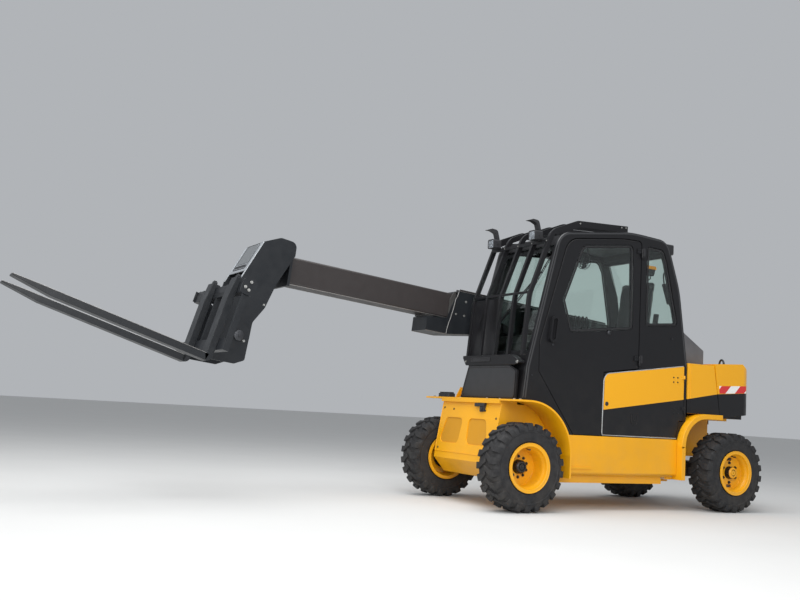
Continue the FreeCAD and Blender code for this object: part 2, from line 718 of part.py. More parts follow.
# Engine hood, counterweight and cowl behind the cab
hood = new_body("hood_body")
pad(hood, "YZ_Plane", [
    ("hood_front", "arch_top"),
    ("seam_low - seam_gap", "arch_top"),
    ("seam_top - seam_gap", "hood_top"),
    ("hood_front", "hood_top"),
], "hood_right", "sill_half")
pocket(hood, "YZ_Plane", [
    ("hood_front + shell", "arch_top - 20"),
    ("seam_low - seam_gap - shell", "arch_top - 20"),
    ("seam_top - seam_gap - shell", "hood_top - shell"),
    ("hood_front + shell", "hood_top - shell"),
], "hood_right + shell", "sill_half - shell")
hand_in(hood, "engine_hood")

weight = new_body("weight_body")
pad(weight, "XY_Plane", [
    ("-sill_half", "seam_top"),
    ("sill_half", "seam_top"),
    ("sill_half", "weight_back", "weight_bend"),
    ("-sill_half", "weight_back", "weight_bend"),
], "weight_low", "weight_top + weight_rise")
pocket(weight, "YZ_Plane", [
    ("seam_top - 30", "weight_low - 10"),
    ("seam_low", "weight_low - 10"),
    ("seam_low", "weight_low"),
    ("seam_top", "weight_top + weight_rise + 10"),
    ("seam_top - 30", "weight_top + weight_rise + 10"),
], "-sill_half - 5", "sill_half + 5")
pocket(weight, "YZ_Plane", [
    ("seam_top - 10", "weight_top"),
    ("weight_back - 110", "weight_top + weight_rise"),
    ("weight_back + 10", "weight_top - 70"),
    ("weight_back + 10", "weight_top + weight_rise + 10"),
    ("seam_top - 10", "weight_top + weight_rise + 10"),
], "-sill_half - 5", "sill_half + 5")
pocket(weight, "XY_Plane", [
    ("-sill_half - 5", "seam_top - 10"),
    ("hood_right + 10", "seam_top - 10"),
    ("hood_right + 10", "weight_notch"),
    ("-sill_half - 5", "weight_notch"),
], "weight_low - 5", "weight_top + weight_rise + 5")
for low, high in (("arch_inner + 1", "sill_half + 5"), ("-sill_half - 5", "-arch_inner - 1")):
    pocket(weight, "YZ_Plane", [
        ("seam_low - 5", "weight_low - 5"),
        ("weight_back + 5", "weight_low - 5"),
        ("weight_back + 5", "weight_low + weight_tuck"),
        ("seam_low - 5", "weight_low"),
    ], low, high)
pocket(weight, "XZ_Plane", [
    ("-grille_half", "grille_low", "20"),
    ("grille_half", "grille_low", "20"),
    ("grille_half", "grille_top", "20"),
    ("-grille_half", "grille_top", "20"),
], "weight_back - grille_depth", "weight_back + 10")
slats = []
for index in range(6):
    foot = "grille_low + %d * slat_pitch" % (index + 1)
    slats.append(prism("slat_%d" % index, "YZ_Plane", [
        ("weight_back - grille_depth - 1", foot + " + 14"),
        ("weight_back - 6", foot),
        ("weight_back - 6", foot + " + slat_wall"),
        ("weight_back - grille_depth - 1", foot + " + 14 + slat_wall"),
    ], "-grille_half - 1", "grille_half + 1"))
tow = box("tow_block", "-70", "70", "weight_back - 180", "weight_back + 10",
          "weight_low - 190", "weight_low + 1")
slot = box("tow_slot", "-75", "75", "weight_back - 90", "weight_back + 20",
           "weight_low - 140", "weight_low - 60")
bore = rod("tow_bore", "z", "15", "weight_low - 200", "weight_low - 40", "0", "weight_back - 35")
tow_cut = cut("tow_cut", cut("tow_open", tow, slot), bore)
hand_in(fuse("weight_whole", [weight, tow_cut] + slats), "counterweight")

cowl = prism("cowl_body", "YZ_Plane", [
    ("hood_front + 12", "hood_top"),
    ("cowl_back", "hood_top"),
    ("cowl_back", "cowl_top - 165", "20"),
    ("hood_front + 12", "cowl_top"),
], "cowl_right", "cowl_left")
hand_in(cowl, "rear_cowl")

# Boom tower: two plates with the pivot pin, and the foot of the lift cylinder
tower = []
for word, low, high, foot in (
    ("inner", "boom_x + outer_half + 10", "boom_x + outer_half + 30", "weight_low"),
    ("outer", "boom_x - outer_half - 30", "boom_x - outer_half - 10", "arch_top"),
):
    tower.append(prism("tower_" + word, "YZ_Plane", [
        ("frame_back + 60", foot),
        ("weight_notch - 5", foot),
        ("weight_notch - 5", "pivot_z - 100", "60"),
        ("pivot_y + 118", "pivot_z + 105", "95"),
        ("pivot_y - 110", "pivot_z + 105", "95"),
    ], low, high))
tower.append(box("tower_base", "-arch_inner + 1", "cab_right",
                 "frame_back + 60", "weight_notch - 5", "weight_low", "weight_low + 24"))
tower.append(box("tower_web", "boom_x - outer_half - 30", "boom_x + outer_half + 30",
                 "weight_notch - 25", "weight_notch - 5", "arch_top", "arch_top + 240"))
tower.append(rod("tower_pin", "x", "pivot_radius", "boom_x - outer_half - 45", "boom_x + outer_half + 42",
                 "0", "pivot_y", "pivot_z"))
for word, low, high in (("inner", "boom_x + 62", "boom_x + 84"), ("outer", "boom_x - 84", "boom_x - 62")):
    tower.append(prism("foot_" + word, "YZ_Plane", [
        ("lift_base_y - 110", "sill_top"),
        ("lift_base_y + 130", "sill_top"),
        ("lift_base_y + 62", "lift_base_z + 62", "50"),
        ("lift_base_y - 62", "lift_base_z + 62", "50"),
    ], low, high))
tower.append(box("foot_plate", "-sill_half + 6", "-frame_half", "lift_base_y - 130", "lift_base_y + 150",
                 "sill_top", "sill_top + 10"))
tower.append(rod("foot_pin", "x", "lift_pin", "boom_x - 96", "boom_x + 96",
                 "0", "lift_base_y", "lift_base_z"))
hand_in(fuse("tower_parts", tower), "boom_tower")

# Engine, one plain block under the seat deck
engine = box("engine_box", "-150", "330", "1010 * cab_run", "frame_back - 100", "rail_top", "1130")
hand_in(group("engine", [engine]), "engine_block")

# Boom, in its own frame: the pivot is the origin and the boom runs along -Y
outer = new_body("outer_tube")
pad(outer, "YZ_Plane", [
    ("outer_end", "-outer_end", "outer_end - 2"),
    ("outer_end", "outer_above", "outer_end - 2"),
    ("-outer_front", "outer_above"),
    ("-outer_front - 65", "-10"),
    ("-outer_front - 88", "-inner_above"),
    ("-collar_lip", "-inner_above - 20"),
    ("-collar_lip", "-collar_below"),
    ("-outer_front - 60", "-collar_below"),
    ("-collar_back", "-outer_below"),
    ("-500", "-outer_below"),
], "-outer_half", "outer_half")
pocket(outer, "XZ_Plane", [
    ("-outer_half + outer_wall", "-inner_above - slide_gap"),
    ("outer_half - outer_wall", "-inner_above - slide_gap"),
    ("outer_half - outer_wall", "outer_above - outer_wall"),
    ("-outer_half + outer_wall", "outer_above - outer_wall"),
], "-collar_lip - 50", "-inner_back + retract + 5")
pocket(outer, "XZ_Plane", [
    ("-outer_half + outer_wall", "-outer_below + outer_wall"),
    ("outer_half - outer_wall", "-outer_below + outer_wall"),
    ("outer_half - outer_wall", "-inner_above - outer_wall"),
    ("-outer_half + outer_wall", "-inner_above - outer_wall"),
], "-collar_back", "-inner_back + retract + 5")
pieces = [outer]
for word, low, high in (("left", "38", "58"), ("right", "-58", "-38")):
    pieces.append(prism("boom_ear_" + word, "YZ_Plane", [
        ("-lift_eye_y - 120", "-outer_below + 6"),
        ("-lift_eye_y - 60", "lift_eye_z - 42", "40"),
        ("-lift_eye_y + 50", "lift_eye_z - 42", "40"),
        ("-lift_eye_y + 150", "-outer_below + 6"),
    ], low, high))
for word, low, high in (("left", "57", "66"), ("right", "-66", "-57")):
    pieces.append(rod("boom_ear_boss_" + word, "x", "30", low, high, "0", "-lift_eye_y", "lift_eye_z"))
outer_bore = rod("outer_bore", "x", "pivot_radius + pin_gap", "-outer_half - 10", "outer_half + 10")
outer_whole = cut("outer_cut", fuse("outer_fuse", pieces), outer_bore)
hand_in(outer_whole, "boom_outer", "boom_x", "pivot_y", "pivot_z", "boom_angle")

inner = new_body("inner_tube")
pad(inner, "XZ_Plane", [
    ("-inner_half", "-inner_above", "16"),
    ("inner_half", "-inner_above", "16"),
    ("inner_half", "inner_above", "16"),
    ("-inner_half", "inner_above", "16"),
], "-head_reach + 1", "-inner_back")
pocket(inner, "XZ_Plane", [
    ("-inner_half + inner_wall", "-inner_above + inner_wall"),
    ("inner_half - inner_wall", "-inner_above + inner_wall"),
    ("inner_half - inner_wall", "inner_above - inner_wall"),
    ("-inner_half + inner_wall", "inner_above - inner_wall"),
], "-head_reach + 31", "-inner_back + 10")
hand_in(inner, "boom_inner", "boom_x", "pivot_y", "pivot_z", "boom_angle")

# Boom head: side plates, the end plate that the tube meets, and the front cover
pieces = []
for word, low, high in (
    ("left", "head_half - head_wall", "head_half"),
    ("right", "-head_half", "-head_half + head_wall"),
):
    pieces.append(prism("head_plate_" + word, "YZ_Plane", [
        ("-head_reach + 8", "100"),
        ("-head_reach + 8", "205", "50"),
        ("-head_reach - 130", "218", "60"),
        ("-head_reach - 264", "158", "16"),
        ("-head_reach - 404", "-158"),
        ("-head_reach + tilt_y - 95", "tilt_z + 130"),
        ("-head_reach + tilt_y - 95", "tilt_z - 90", "86"),
        ("-head_reach + tilt_y + 90", "tilt_z - 90", "86"),
        ("-head_reach + tilt_y + 100", "tilt_z + 120", "60"),
        ("-head_reach - 177", "-352"),
        ("-head_reach - 112", "-150"),
    ], low, high))
inside = ("-head_half + head_wall - 1", "head_half - head_wall + 1")
pieces.append(prism("head_end", "YZ_Plane", [
    ("-head_reach - 20", "-140"),
    ("-head_reach + 1", "-140"),
    ("-head_reach + 1", "140"),
    ("-head_reach - 20", "140"),
], *inside))
pieces.append(prism("head_cover", "YZ_Plane", [
    ("-head_reach - 250", "158"),
    ("-head_reach - 264", "158"),
    ("-head_reach - 362", "-64"),
    ("-head_reach - 348", "-64"),
], *inside))
pieces.append(prism("head_roof", "YZ_Plane", [
    ("-head_reach - 10", "176"),
    ("-head_reach - 10", "190"),
    ("-head_reach - 128", "204"),
    ("-head_reach - 248", "158"),
    ("-head_reach - 236", "150"),
    ("-head_reach - 128", "190"),
], *inside))
pieces.append(rod("head_pin", "x", "tilt_pin", "-head_half - lug_gap - 26", "head_half + lug_gap + 26",
                  "0", "-head_reach + tilt_y", "tilt_z"))
pieces.append(rod("head_base_pin", "x", "tilt_eye_pin", inside[0], inside[1],
                  "0", "-head_reach + base_y", "base_z"))
hand_in(fuse("head_parts", pieces), "boom_head", "boom_x", "pivot_y", "pivot_z", "boom_angle")

# Carriage and forks, in the carriage's own frame about the tilt pivot
TILT_Y = "pivot_y + (tilt_y - head_reach) * cos(boom_angle) + tilt_z * sin(boom_angle)"
TILT_Z = "pivot_z - (tilt_y - head_reach) * sin(boom_angle) + tilt_z * cos(boom_angle)"
BAR_FRONT = "fork_face + fork_wall"
BAR_BACK = "fork_face + fork_wall + carriage_wall"
pieces = []
for word, low, high in (
    ("top", "fork_top - 114", "fork_top - 28"),
    ("foot", "fork_low + 90", "fork_low + 176"),
):
    pieces.append(box("bar_" + word, "carriage_right", "carriage_left", BAR_FRONT, BAR_BACK, low, high))
for index, x in enumerate(("carriage_left - 40", "80", "-140")):
    pieces.append(box("upright_%d" % index, x, x + " + 38", BAR_FRONT + " + 3", BAR_BACK,
                      "fork_low + 170", "fork_top - 110"))
for word, low, high in (
    ("left", "boom_x + head_half + lug_gap", "boom_x + head_half + lug_gap + 18"),
    ("right", "boom_x - head_half - lug_gap - 18", "boom_x - head_half - lug_gap"),
):
    lug = prism("lug_" + word, "YZ_Plane", [
        (BAR_BACK + " - 2", "fork_low + 70"),
        ("40", "-210", "20"),
        ("108", "-160", "20"),
        ("78", "60", "70"),
        ("-20", "120", "40"),
        ("-150", "fork_top - 80"),
        (BAR_BACK + " - 2", "fork_top - 30"),
    ], low, high)
    hole = rod("lug_bore_" + word, "x", "tilt_pin + pin_gap", low + " - 5", high + " + 5")
    pieces.append(cut("lug_cut_" + word, lug, hole))
for word, low, high in (("left", "boom_x + 26", "boom_x + 42"), ("right", "boom_x - 42", "boom_x - 26")):
    pieces.append(prism("ear_" + word, "YZ_Plane", [
        (BAR_BACK + " - 2", "fork_top - 112"),
        ("ear_y + 32", "ear_z - 34", "30"),
        ("ear_y + 32", "ear_z + 32", "30"),
        ("ear_y - 40", "ear_z + 32", "20"),
        (BAR_BACK + " - 2", "fork_top - 34"),
    ], low, high))
for word, low, high in (("left", "boom_x + 41", "boom_x + 50"), ("right", "boom_x - 50", "boom_x - 41")):
    pieces.append(rod("ear_boss_" + word, "x", "22", low, high, "0", "ear_y", "ear_z"))
pieces.append(prism("end_cap", "YZ_Plane", [
    (BAR_FRONT + " - 30", "fork_top - 130", "30"),
    (BAR_BACK + " + 34", "fork_top - 130", "30"),
    (BAR_BACK + " + 34", "fork_top - 10", "40"),
    (BAR_FRONT + " - 30", "fork_top - 10", "40"),
], "carriage_left - 1", "carriage_left + 11"))
hand_in(fuse("carriage_parts", pieces), "carriage", "0", TILT_Y, TILT_Z, "tilt_angle")

pair = []
for word, side in SIDES:
    pair.append(prism("fork_" + word, "YZ_Plane", [
        ("fork_face + fork_wall", "fork_low", "40"),
        ("fork_face + fork_wall", "fork_top - 28"),
        ("fork_face + fork_wall + 26", "fork_top - 28"),
        ("fork_face + fork_wall + 26", "fork_top"),
        ("fork_face + 16", "fork_top"),
        ("fork_face", "fork_top - 160"),
        ("fork_face", "fork_low + fork_wall", "12"),
        ("fork_face - fork_length", "fork_low + fork_wall + fork_rise"),
        ("fork_face - fork_length", "fork_low + fork_wall + fork_rise - fork_tip"),
        ("fork_face - fork_length * 0.8", "fork_low + fork_rise * 0.8 + 6"),
    ], "%d * fork_x - fork_half" % side, "%d * fork_x + fork_half" % side))
hand_in(group("fork_pair", pair), "forks", "0", TILT_Y, TILT_Z, "tilt_angle")


# Cylinders: a barrel and a rod along -Y from the barrel's pin
def cylinder(name, radius, rod_radius, pin, width, length, stroke, reach, place, lean):
    """Barrel with its eye at the origin, and the rod with its closed eye at reach."""
    barrel = fuse(name + "_barrel_parts", [
        rod(name + "_tube", "y", radius, "-(%s)" % length, "-(%s) - 10" % pin),
        rod(name + "_base_eye", "x", "%s + 16" % pin, "-(%s)" % width, width),
    ])
    bore = fuse(name + "_barrel_bores", [
        rod(name + "_base_bore", "x", "%s + pin_gap" % pin, "-(%s) - 5" % width, "%s + 5" % width),
        rod(name + "_rod_bore", "y", "%s + pin_gap" % rod_radius, "-(%s) - 5" % length, "-(%s) - 60" % pin),
    ])
    hand_in(cut(name + "_barrel_cut", barrel, bore), name + "_barrel", "boom_x", place[0], place[1], lean)
    shaft = fuse(name + "_rod_parts", [
        rod(name + "_shaft", "y", rod_radius, "-(%s) + 6" % reach, "%s - (%s)" % (stroke, reach)),
        rod(name + "_rod_eye", "x", "%s + 15" % pin, "-(%s)" % width, width, "0", "-(%s)" % reach),
    ])
    hand_in(shaft, name + "_rod", "boom_x", place[0], place[1], lean)


def boom_point(y, z, angle="boom_angle"):
    """Place of a point of the boom's frame, as two texts."""
    return (
        "pivot_y + (%s) * cos(%s) + (%s) * sin(%s)" % (y, angle, z, angle),
        "pivot_z - (%s) * sin(%s) + (%s) * cos(%s)" % (y, angle, z, angle),
    )


def span(start, end):
    """Distance and lean of the line between two places."""
    back = number_of(end[0]) - number_of(start[0])
    up = number_of(end[1]) - number_of(start[1])
    return math.hypot(back, up), math.degrees(math.atan2(up, -back))


lift_base = ("lift_base_y", "lift_base_z")
lift_eye = boom_point("-lift_eye_y", "lift_eye_z")
reach, lean = span(lift_base, lift_eye)
closed, _ = span(lift_base, boom_point("-lift_eye_y", "lift_eye_z", "(boom_angle - boom_drop)"))
cylinder("lift", "lift_barrel", "lift_rod", "lift_pin", "34", "%.6f - lift_neck" % closed,
         "%.6f - lift_spare" % closed, "%.6f" % reach, lift_base, "%.6f" % lean)
tilt_base = boom_point("-head_reach + base_y", "base_z")
tilt_eye = (
    "%s + ear_y * cos(tilt_angle) + ear_z * sin(tilt_angle)" % TILT_Y,
    "%s - ear_y * sin(tilt_angle) + ear_z * cos(tilt_angle)" % TILT_Z,
)
reach, lean = span(tilt_base, tilt_eye)
cylinder("tilt", "tilt_barrel", "tilt_rod", "tilt_eye_pin", "22", "tilt_length", "tilt_stroke",
         "%.6f" % reach, tilt_base, "%.6f" % lean)

# Cab: outline of its side, shared by both side frames
def along(y):
    """A place along the drawn cab, which follows its length."""
    return "%s * cab_run" % y


def seen(corners):
    """Outline whose plain numbers across are places along the drawn cab."""
    return [(along(c[0]) if c[0].isdigit() else c[0],) + tuple(c[1:]) for c in corners]


CAB_OUTLINE = seen([
    ("rear_foot", "sill_top"),
    ("rear_foot", "1250"),
    ("1655", "1900", "900"),
    ("1500", "2320", "150"),
    ("1080", "2344", "1500"),
    ("320", "2240", "170"),
    ("46", "1129"),
    ("18", "deck_top"),
])
LEFT = ("cab_left - cab_wall", "cab_left")
DOOR_HINGES = ("1250", "2170")
HATCH_HINGES = ("860", "1130")
RIGHT = ("cab_right", "cab_right + cab_wall")
left_frame = new_body("left_frame")
pad(left_frame, "YZ_Plane", [(along("18"), "sill_top")] + CAB_OUTLINE, *LEFT)
DOOR = seen([
    ("door_foot", "sill_top + 6"),
    ("815", "sill_top + 6"),
    ("824", "1134"),
    ("b_post", "1187"),
    ("b_post", "2276", "40"),
    ("1000", "2272", "900"),
    ("410", "2196", "150"),
    ("154", "1330", "200"),
    ("160", "1097"),
])
THROUGH = ("cab_left - cab_wall - 5", "cab_left + 5")
pocket(left_frame, "YZ_Plane", [
    ("door_foot - door_gap * 0.75", "sill_top"),
    ("door_foot - door_gap * 0.75", "sill_top - 10"),
    (along("818"), "sill_top - 10"),
    (along("815") + " + door_gap", "sill_top"),
    (along("824") + " + door_gap", "1134 - door_gap"),
    ("b_post + door_gap", "1187 - door_gap"),
    ("b_post + door_gap", "2276 + door_gap", "40"),
    (along("1000"), "2272 + door_gap", "900"),
    (along("410") + " - door_gap", "2196 + door_gap", "150"),
    (along("154") + " - door_gap", "1330", "200"),
    (along("160") + " - door_gap", "1097"),
], *THROUGH)
HATCH = seen([
    ("829", "sill_top + 18"),
    ("arch_front - 25", "sill_top + 18"),
    ("arch_front - 4", "692"),
    ("arch_front + 6", "764"),
    ("rear_foot - 35", "772"),
    ("rear_foot - 35", "1240"),
    ("838", "1116", "60"),
])
pocket(left_frame, "YZ_Plane", [
    (along("829") + " - door_gap", "sill_top - 10"),
    ("arch_front - 23 + door_gap", "sill_top - 10"),
    ("arch_front - 23 + door_gap", "sill_top + 10"),
    ("arch_front - 4 + door_gap", "692"),
    ("arch_front + 6 + door_gap", "764 - door_gap"),
    ("rear_foot - 35 + door_gap", "772 - door_gap"),
    ("rear_foot - 35 + door_gap", "1240 + door_gap"),
    (along("838") + " - door_gap", "1116 + door_gap", "60"),
], *THROUGH)


def wider(corners, size):
    """Corners of an outline moved out by size, with its bends widened alike."""
    spots = [(number_of(c[0]), number_of(c[1])) for c in corners]
    area = sum(a[0] * b[1] - a[1] * b[0] for a, b in zip(spots, spots[1:] + spots[:1]))
    side = 1 if area > 0 else -1
    moved = []
    for i, (across, up) in enumerate(spots):
        edges = []
        for start, end in ((spots[i - 1], spots[i]), (spots[i], spots[(i + 1) % len(spots)])):
            run, rise = end[0] - start[0], end[1] - start[1]
            length = math.hypot(run, rise)
            edges.append((side * rise / length, -side * run / length))
        share = 1 + edges[0][0] * edges[1][0] + edges[0][1] * edges[1][1]
        shift = [(edges[0][k] + edges[1][k]) / share for k in (0, 1)]
        bend = "%s + %s" % (corners[i][2], size)
        moved.append((
            "%s + %.6f * (%s)" % (corners[i][0], shift[0], size),
            "%s + %.6f * (%s)" % (corners[i][1], shift[1], size),
            bend,
        ))
    return moved


def window(owner, corners, inner, outer, seat):
    """Opening with a rebate in its outer face, for a pane resting on the ledge at seat."""
    low, high = sorted((inner, outer), key=number_of)
    pocket(owner, "YZ_Plane", corners, low + " - 5", high + " + 5")
    ends = (seat, high + " + 5") if outer == high else (low + " - 5", seat)
    pocket(owner, "YZ_Plane", wider(corners, "rebate"), *ends)


QUARTER = seen([
    ("1274", "1562", "30"),
    ("1630", "1596", "30"),
    ("1490", "2122", "50"),
    ("1446", "2226", "50"),
    ("1274", "2238", "30"),
])
window(left_frame, QUARTER, LEFT[0], LEFT[1], "cab_left - glass - 4")
pocket(left_frame, "YZ_Plane", [
    ("-120", "300"),
    ("guard_bend + 1", "300"),
    ("guard_bend + 1", "deck_top + 1", "guard_bend"),
    ("-120", "deck_top + 1"),
], *THROUGH)
pocket(left_frame, "YZ_Plane", [
    ("arch_front - 4", "300"),
    ("arch_back", "300"),
    ("arch_back", "arch_top + 4"),
    ("arch_front - 4", "arch_top + 4", "arch_bend"),
], *THROUGH)
right_frame = new_body("right_frame")
pad(right_frame, "YZ_Plane", [
    ("sill_front", "rail_top"),
    ("frame_back - 90", "rail_top"),
    ("frame_back - 90", "weight_low"),
    ("rear_foot", "weight_low"),
] + CAB_OUTLINE[1:] + [("sill_front", "deck_top")], *RIGHT)
FAR_SIDE = seen([
    ("236", "1414", "60"),
    ("1616", "1482", "60"),
    ("1490", "2122", "60"),
    ("1434", "2222", "70"),
    ("440", "2170", "120"),
])
window(right_frame, FAR_SIDE, RIGHT[1], RIGHT[0], "cab_right + glass + 4")
WIDE = ("cab_right + cab_wall - 1", "cab_left - cab_wall + 1")
beams = [
    prism("beam_front", "YZ_Plane", seen([
        ("330", "2150"),
        ("352", "2150"),
        ("440", "2218"),
        ("440", "2244"),
        ("372", "2232"),
    ]), *WIDE),
    prism("beam_back", "YZ_Plane", seen([
        ("1460", "2200"),
        ("1500", "2180"),
        ("1520", "2180"),
        ("1490", "2292"),
        ("1440", "2292"),
    ]), *WIDE),
    prism("beam_foot", "YZ_Plane", seen([
        ("70", "1140"),
        ("110", "1140"),
        ("122", "1236"),
        ("90", "1236"),
    ]), *WIDE),
    prism("back_panel", "YZ_Plane", seen([
        ("rear_foot - 16", "weight_low + 40"),
        ("rear_foot - 4", "weight_low + 40"),
        ("rear_foot - 4", "seat_deck + plate"),
        ("1722", "1500"),
        ("1710", "1500"),
        ("rear_foot - 16", "seat_deck + plate"),
    ]), *WIDE),
    prism("front_wall", "YZ_Plane", seen([
        ("30", "deck_top"),
        ("44", "deck_top"),
        ("74", "1146"),
        ("60", "1146"),
    ]), *WIDE),
]
hinges = [box("lamp_bracket", "440", "470", along("1480"), along("1552"), "2250", "2270")]
for index, z in enumerate(DOOR_HINGES):
    hinges.append(rod("frame_hinge_%d" % index, "z", "9", z + " - 40", z, "cab_left + 10", "b_post + 5"))
    hinges.append(box("frame_leaf_%d" % index, "cab_left - 1", "cab_left + 8", "b_post + 8", "b_post + 44",
                      z + " - 40", z))
for index, z in enumerate(HATCH_HINGES):
    hinges.append(rod("hatch_post_%d" % index, "z", "5", z + " - 30", z, "cab_left + 8", "rear_foot - 30"))
    hinges.append(box("hatch_leaf_%d" % index, "cab_left - 1", "cab_left + 7", "rear_foot - 27.5",
                      "rear_foot - 11", z + " - 30", z))
hand_in(fuse("cab_whole", [left_frame, right_frame] + beams + hinges), "cab_frame")

INSIDE = ("cab_right + cab_wall", "cab_left - cab_wall")
roof = prism("roof_body", "YZ_Plane", seen([
    ("440", "2210"),
    ("470", "2208"),
    ("1080", "2286", "1500"),
    ("1440", "2272"),
    ("1440", "2304", "30"),
    ("1080", "2322", "1500"),
    ("440", "2240"),
]), *INSIDE)
hand_in(roof, "cab_roof")

# Cab floor: footwell, riser, deck over the engine and the step's riser
floor = new_body("floor_body")
pad(floor, "YZ_Plane", seen([
    ("66", "floor_z"),
    ("842", "floor_z"),
    ("842", "seat_deck"),
    ("rear_foot - 16", "seat_deck"),
    ("rear_foot - 16", "seat_deck + plate"),
    ("830", "seat_deck + plate"),
    ("830", "floor_z + plate"),
    ("66", "floor_z + plate"),
]), *INSIDE)
pocket(floor, "XY_Plane", [
    ("nose_half", "0"),
    ("cab_left", "0"),
    ("cab_left", "floor_notch"),
    ("nose_half", "floor_notch"),
], "floor_z - 5", "floor_z + plate + 5")
step_riser = box("step_riser", "sill_inner - 12", "sill_inner", "sill_front", along("842"),
                 "rail_top", "floor_z + 1")
bay_wall = box("bay_wall", "cab_right + cab_wall", "sill_inner", along("830"), along("842"),
               "rail_top", "floor_z + 1")
hand_in(fuse("floor_whole", [floor, step_riser, bay_wall]), "cab_floor")

# Glass sheets that stay with the cab
panes = [
    prism("windscreen", "YZ_Plane", [
        (along("123"), "1226"),
        (along("123") + " + glass", "1226"),
        (along("350") + " + glass", "2149"),
        (along("350"), "2149"),
    ], *INSIDE),
    prism("back_glass", "YZ_Plane", [
        (along("1711"), "1502"),
        (along("1711") + " + glass", "1502"),
        (along("1648") + " + glass", "1900"),
        (along("1533") + " + glass", "2182"),
        (along("1533"), "2182"),
        (along("1648"), "1900"),
    ], *INSIDE),
    prism("quarter_glass", "YZ_Plane", wider(QUARTER, "rebate - 1"),
          "cab_left - glass - 4", "cab_left - 4"),
    prism("right_glass", "YZ_Plane", wider(FAR_SIDE, "rebate - 1"),
          "cab_right + 4", "cab_right + glass + 4"),
]
hand_in(group("panes", panes), "cab_glass")

# Door and its glass
door = new_body("door_body")
pad(door, "YZ_Plane", DOOR, "cab_left - cab_wall + 4", "cab_left - 2")
PANE = seen([
    ("378", "1690", "30"),
    ("464", "1439", "40"),
    ("1116", "1519", "30"),
    ("1097", "2224", "30"),
    ("565", "2156", "80"),
])
window(door, PANE, LEFT[0], LEFT[1], "cab_left - glass - 6")
hinges = [door]
for index, z in enumerate(DOOR_HINGES):
    foot = z + " + pin_gap"
    hinges.append(rod("door_hinge_%d" % index, "z", "9", foot, z + " + 40", "cab_left + 10", "b_post + 5"))
    hinges.append(box("door_leaf_%d" % index, "cab_left - 3", "cab_left + 8", "b_post - 50", "b_post + 2",
                      foot, z + " + 40"))
for word, y, z in (("low", "pull_y + 30", "1338"), ("top", "pull_y + 44", "1530")):
    hinges.append(box("door_pull_" + word, "cab_left - 3", "cab_left + 26", y, y + " + 16", z, z + " + 12"))
pull = prism("door_pull", "YZ_Plane", [
    ("pull_y", "1336", "26"),
    ("pull_y + 68", "1336", "26"),
    ("pull_y + 90", "1544", "26"),
    ("pull_y + 22", "1544", "26"),
], "cab_left + 14", "cab_left + 30")
pocket(pull, "YZ_Plane", [
    ("pull_y + 18", "1352", "14"),
    ("pull_y + 54", "1352", "14"),
    ("pull_y + 72", "1528", "14"),
    ("pull_y + 36", "1528", "14"),
], "cab_left + 10", "cab_left + 35")
hinges.append(pull)
hand_in(fuse("door_whole", hinges), "door_panel")
pane = prism("door_pane", "YZ_Plane", wider(PANE, "rebate - 1"), "cab_left - glass - 6", "cab_left - 6")
hand_in(pane, "door_glass")

# Side hatch of the engine bay
hatch = prism("hatch_plate", "YZ_Plane", HATCH, "cab_left - 26", "cab_left + 4")
hinges = [hatch]
for index, z in enumerate(HATCH_HINGES):
    foot = z + " + pin_gap"
    hinges.append(rod("hatch_hinge_%d" % index, "z", "5", foot, z + " + 30",
                      "cab_left + 8", "rear_foot - 30"))
    hinges.append(box("hatch_strap_%d" % index, "cab_left + 3", "cab_left + 9", "rear_foot - 63",
                      "rear_foot - 30", foot, z + " + 30"))
hand_in(fuse("hatch_whole", hinges), "side_hatch")

# Front panel and shelf under the windscreen
panel = [
    prism("panel_plate", "XZ_Plane", [
        ("-310", "deck_top"),
        ("490", "deck_top"),
        ("500", "1092"),
        ("400", "1138"),
        ("-200", "1138"),
    ], "-4", along("18")),
    prism("shelf_plate", "XZ_Plane", [
        ("-236", "1137"),
        ("470", "1137"),
        ("540", "1154"),
        ("540", "1164"),
        ("420", "shelf_top"),
        ("-283", "shelf_top"),
        ("-283", "1196"),
    ], "-12", along("46")),
]
hand_in(fuse("panels", panel), "front_panel")

# Guard bars over windscreen and roof
BAR_SPAN = ("bar_first", "bar_first + 4 * bar_pitch")
bars = []
for index in range(5):
    middle = "bar_first + %d * bar_pitch" % index
    bars.append(prism("bar_%d" % index, "YZ_Plane", seen([
        ("18", "shelf_top"),
        (along("18") + " + bar_depth", "shelf_top"),
        (along("60") + " + bar_depth", "1706", "300"),
        ("300", "2236", "120"),
        ("548", "2338", "60"),
        ("1080", "2366"),
        ("1080", "2400"),
        ("536", "2372", "90"),
        ("264", "2260", "150"),
        ("60", "1712", "300"),
    ]), middle + " - bar_half", middle + " + bar_half"))
for word, front, back, low, high in (
    ("low", along("66"), along("66") + " + 16", "1716", "1734"),
    ("top", along("225"), along("225") + " + 20", "2150", "2176"),
    ("back", along("1080") + " - 30", along("1080") + " - 4", "2368", "2388"),
):
    bars.append(box("bar_cross_" + word, *BAR_SPAN, front, back, low, high))
bars.append(prism("bar_shield", "YZ_Plane", seen([
    ("40", "shelf_top"),
    ("46", "shelf_top"),
    ("82", "1700"),
    ("76", "1700"),
]), "bar_first", "bar_first + 2 * bar_pitch"))
for word, middle in (("right", "bar_first"), ("left", "bar_first + 4 * bar_pitch")):
    bars.append(prism("bar_web_" + word, "YZ_Plane", seen([
        ("322", "2218"),
        ("560", "2318"),
        ("1080", "2344"),
        ("1080", "2372"),
        ("544", "2350"),
        ("300", "2240"),
    ]), middle + " - bar_half", middle + " + bar_half"))
for index, x in enumerate(("cab_right + 4", "cab_left - cab_wall - 36")):
    bars.append(box("bar_foot_%d" % index, x, x + " + 36", along("1064") + " - 8", along("1064") + " + 8",
                    "bar_seat", "2370"))
hand_in(fuse("bars_whole", bars), "guard_bars")

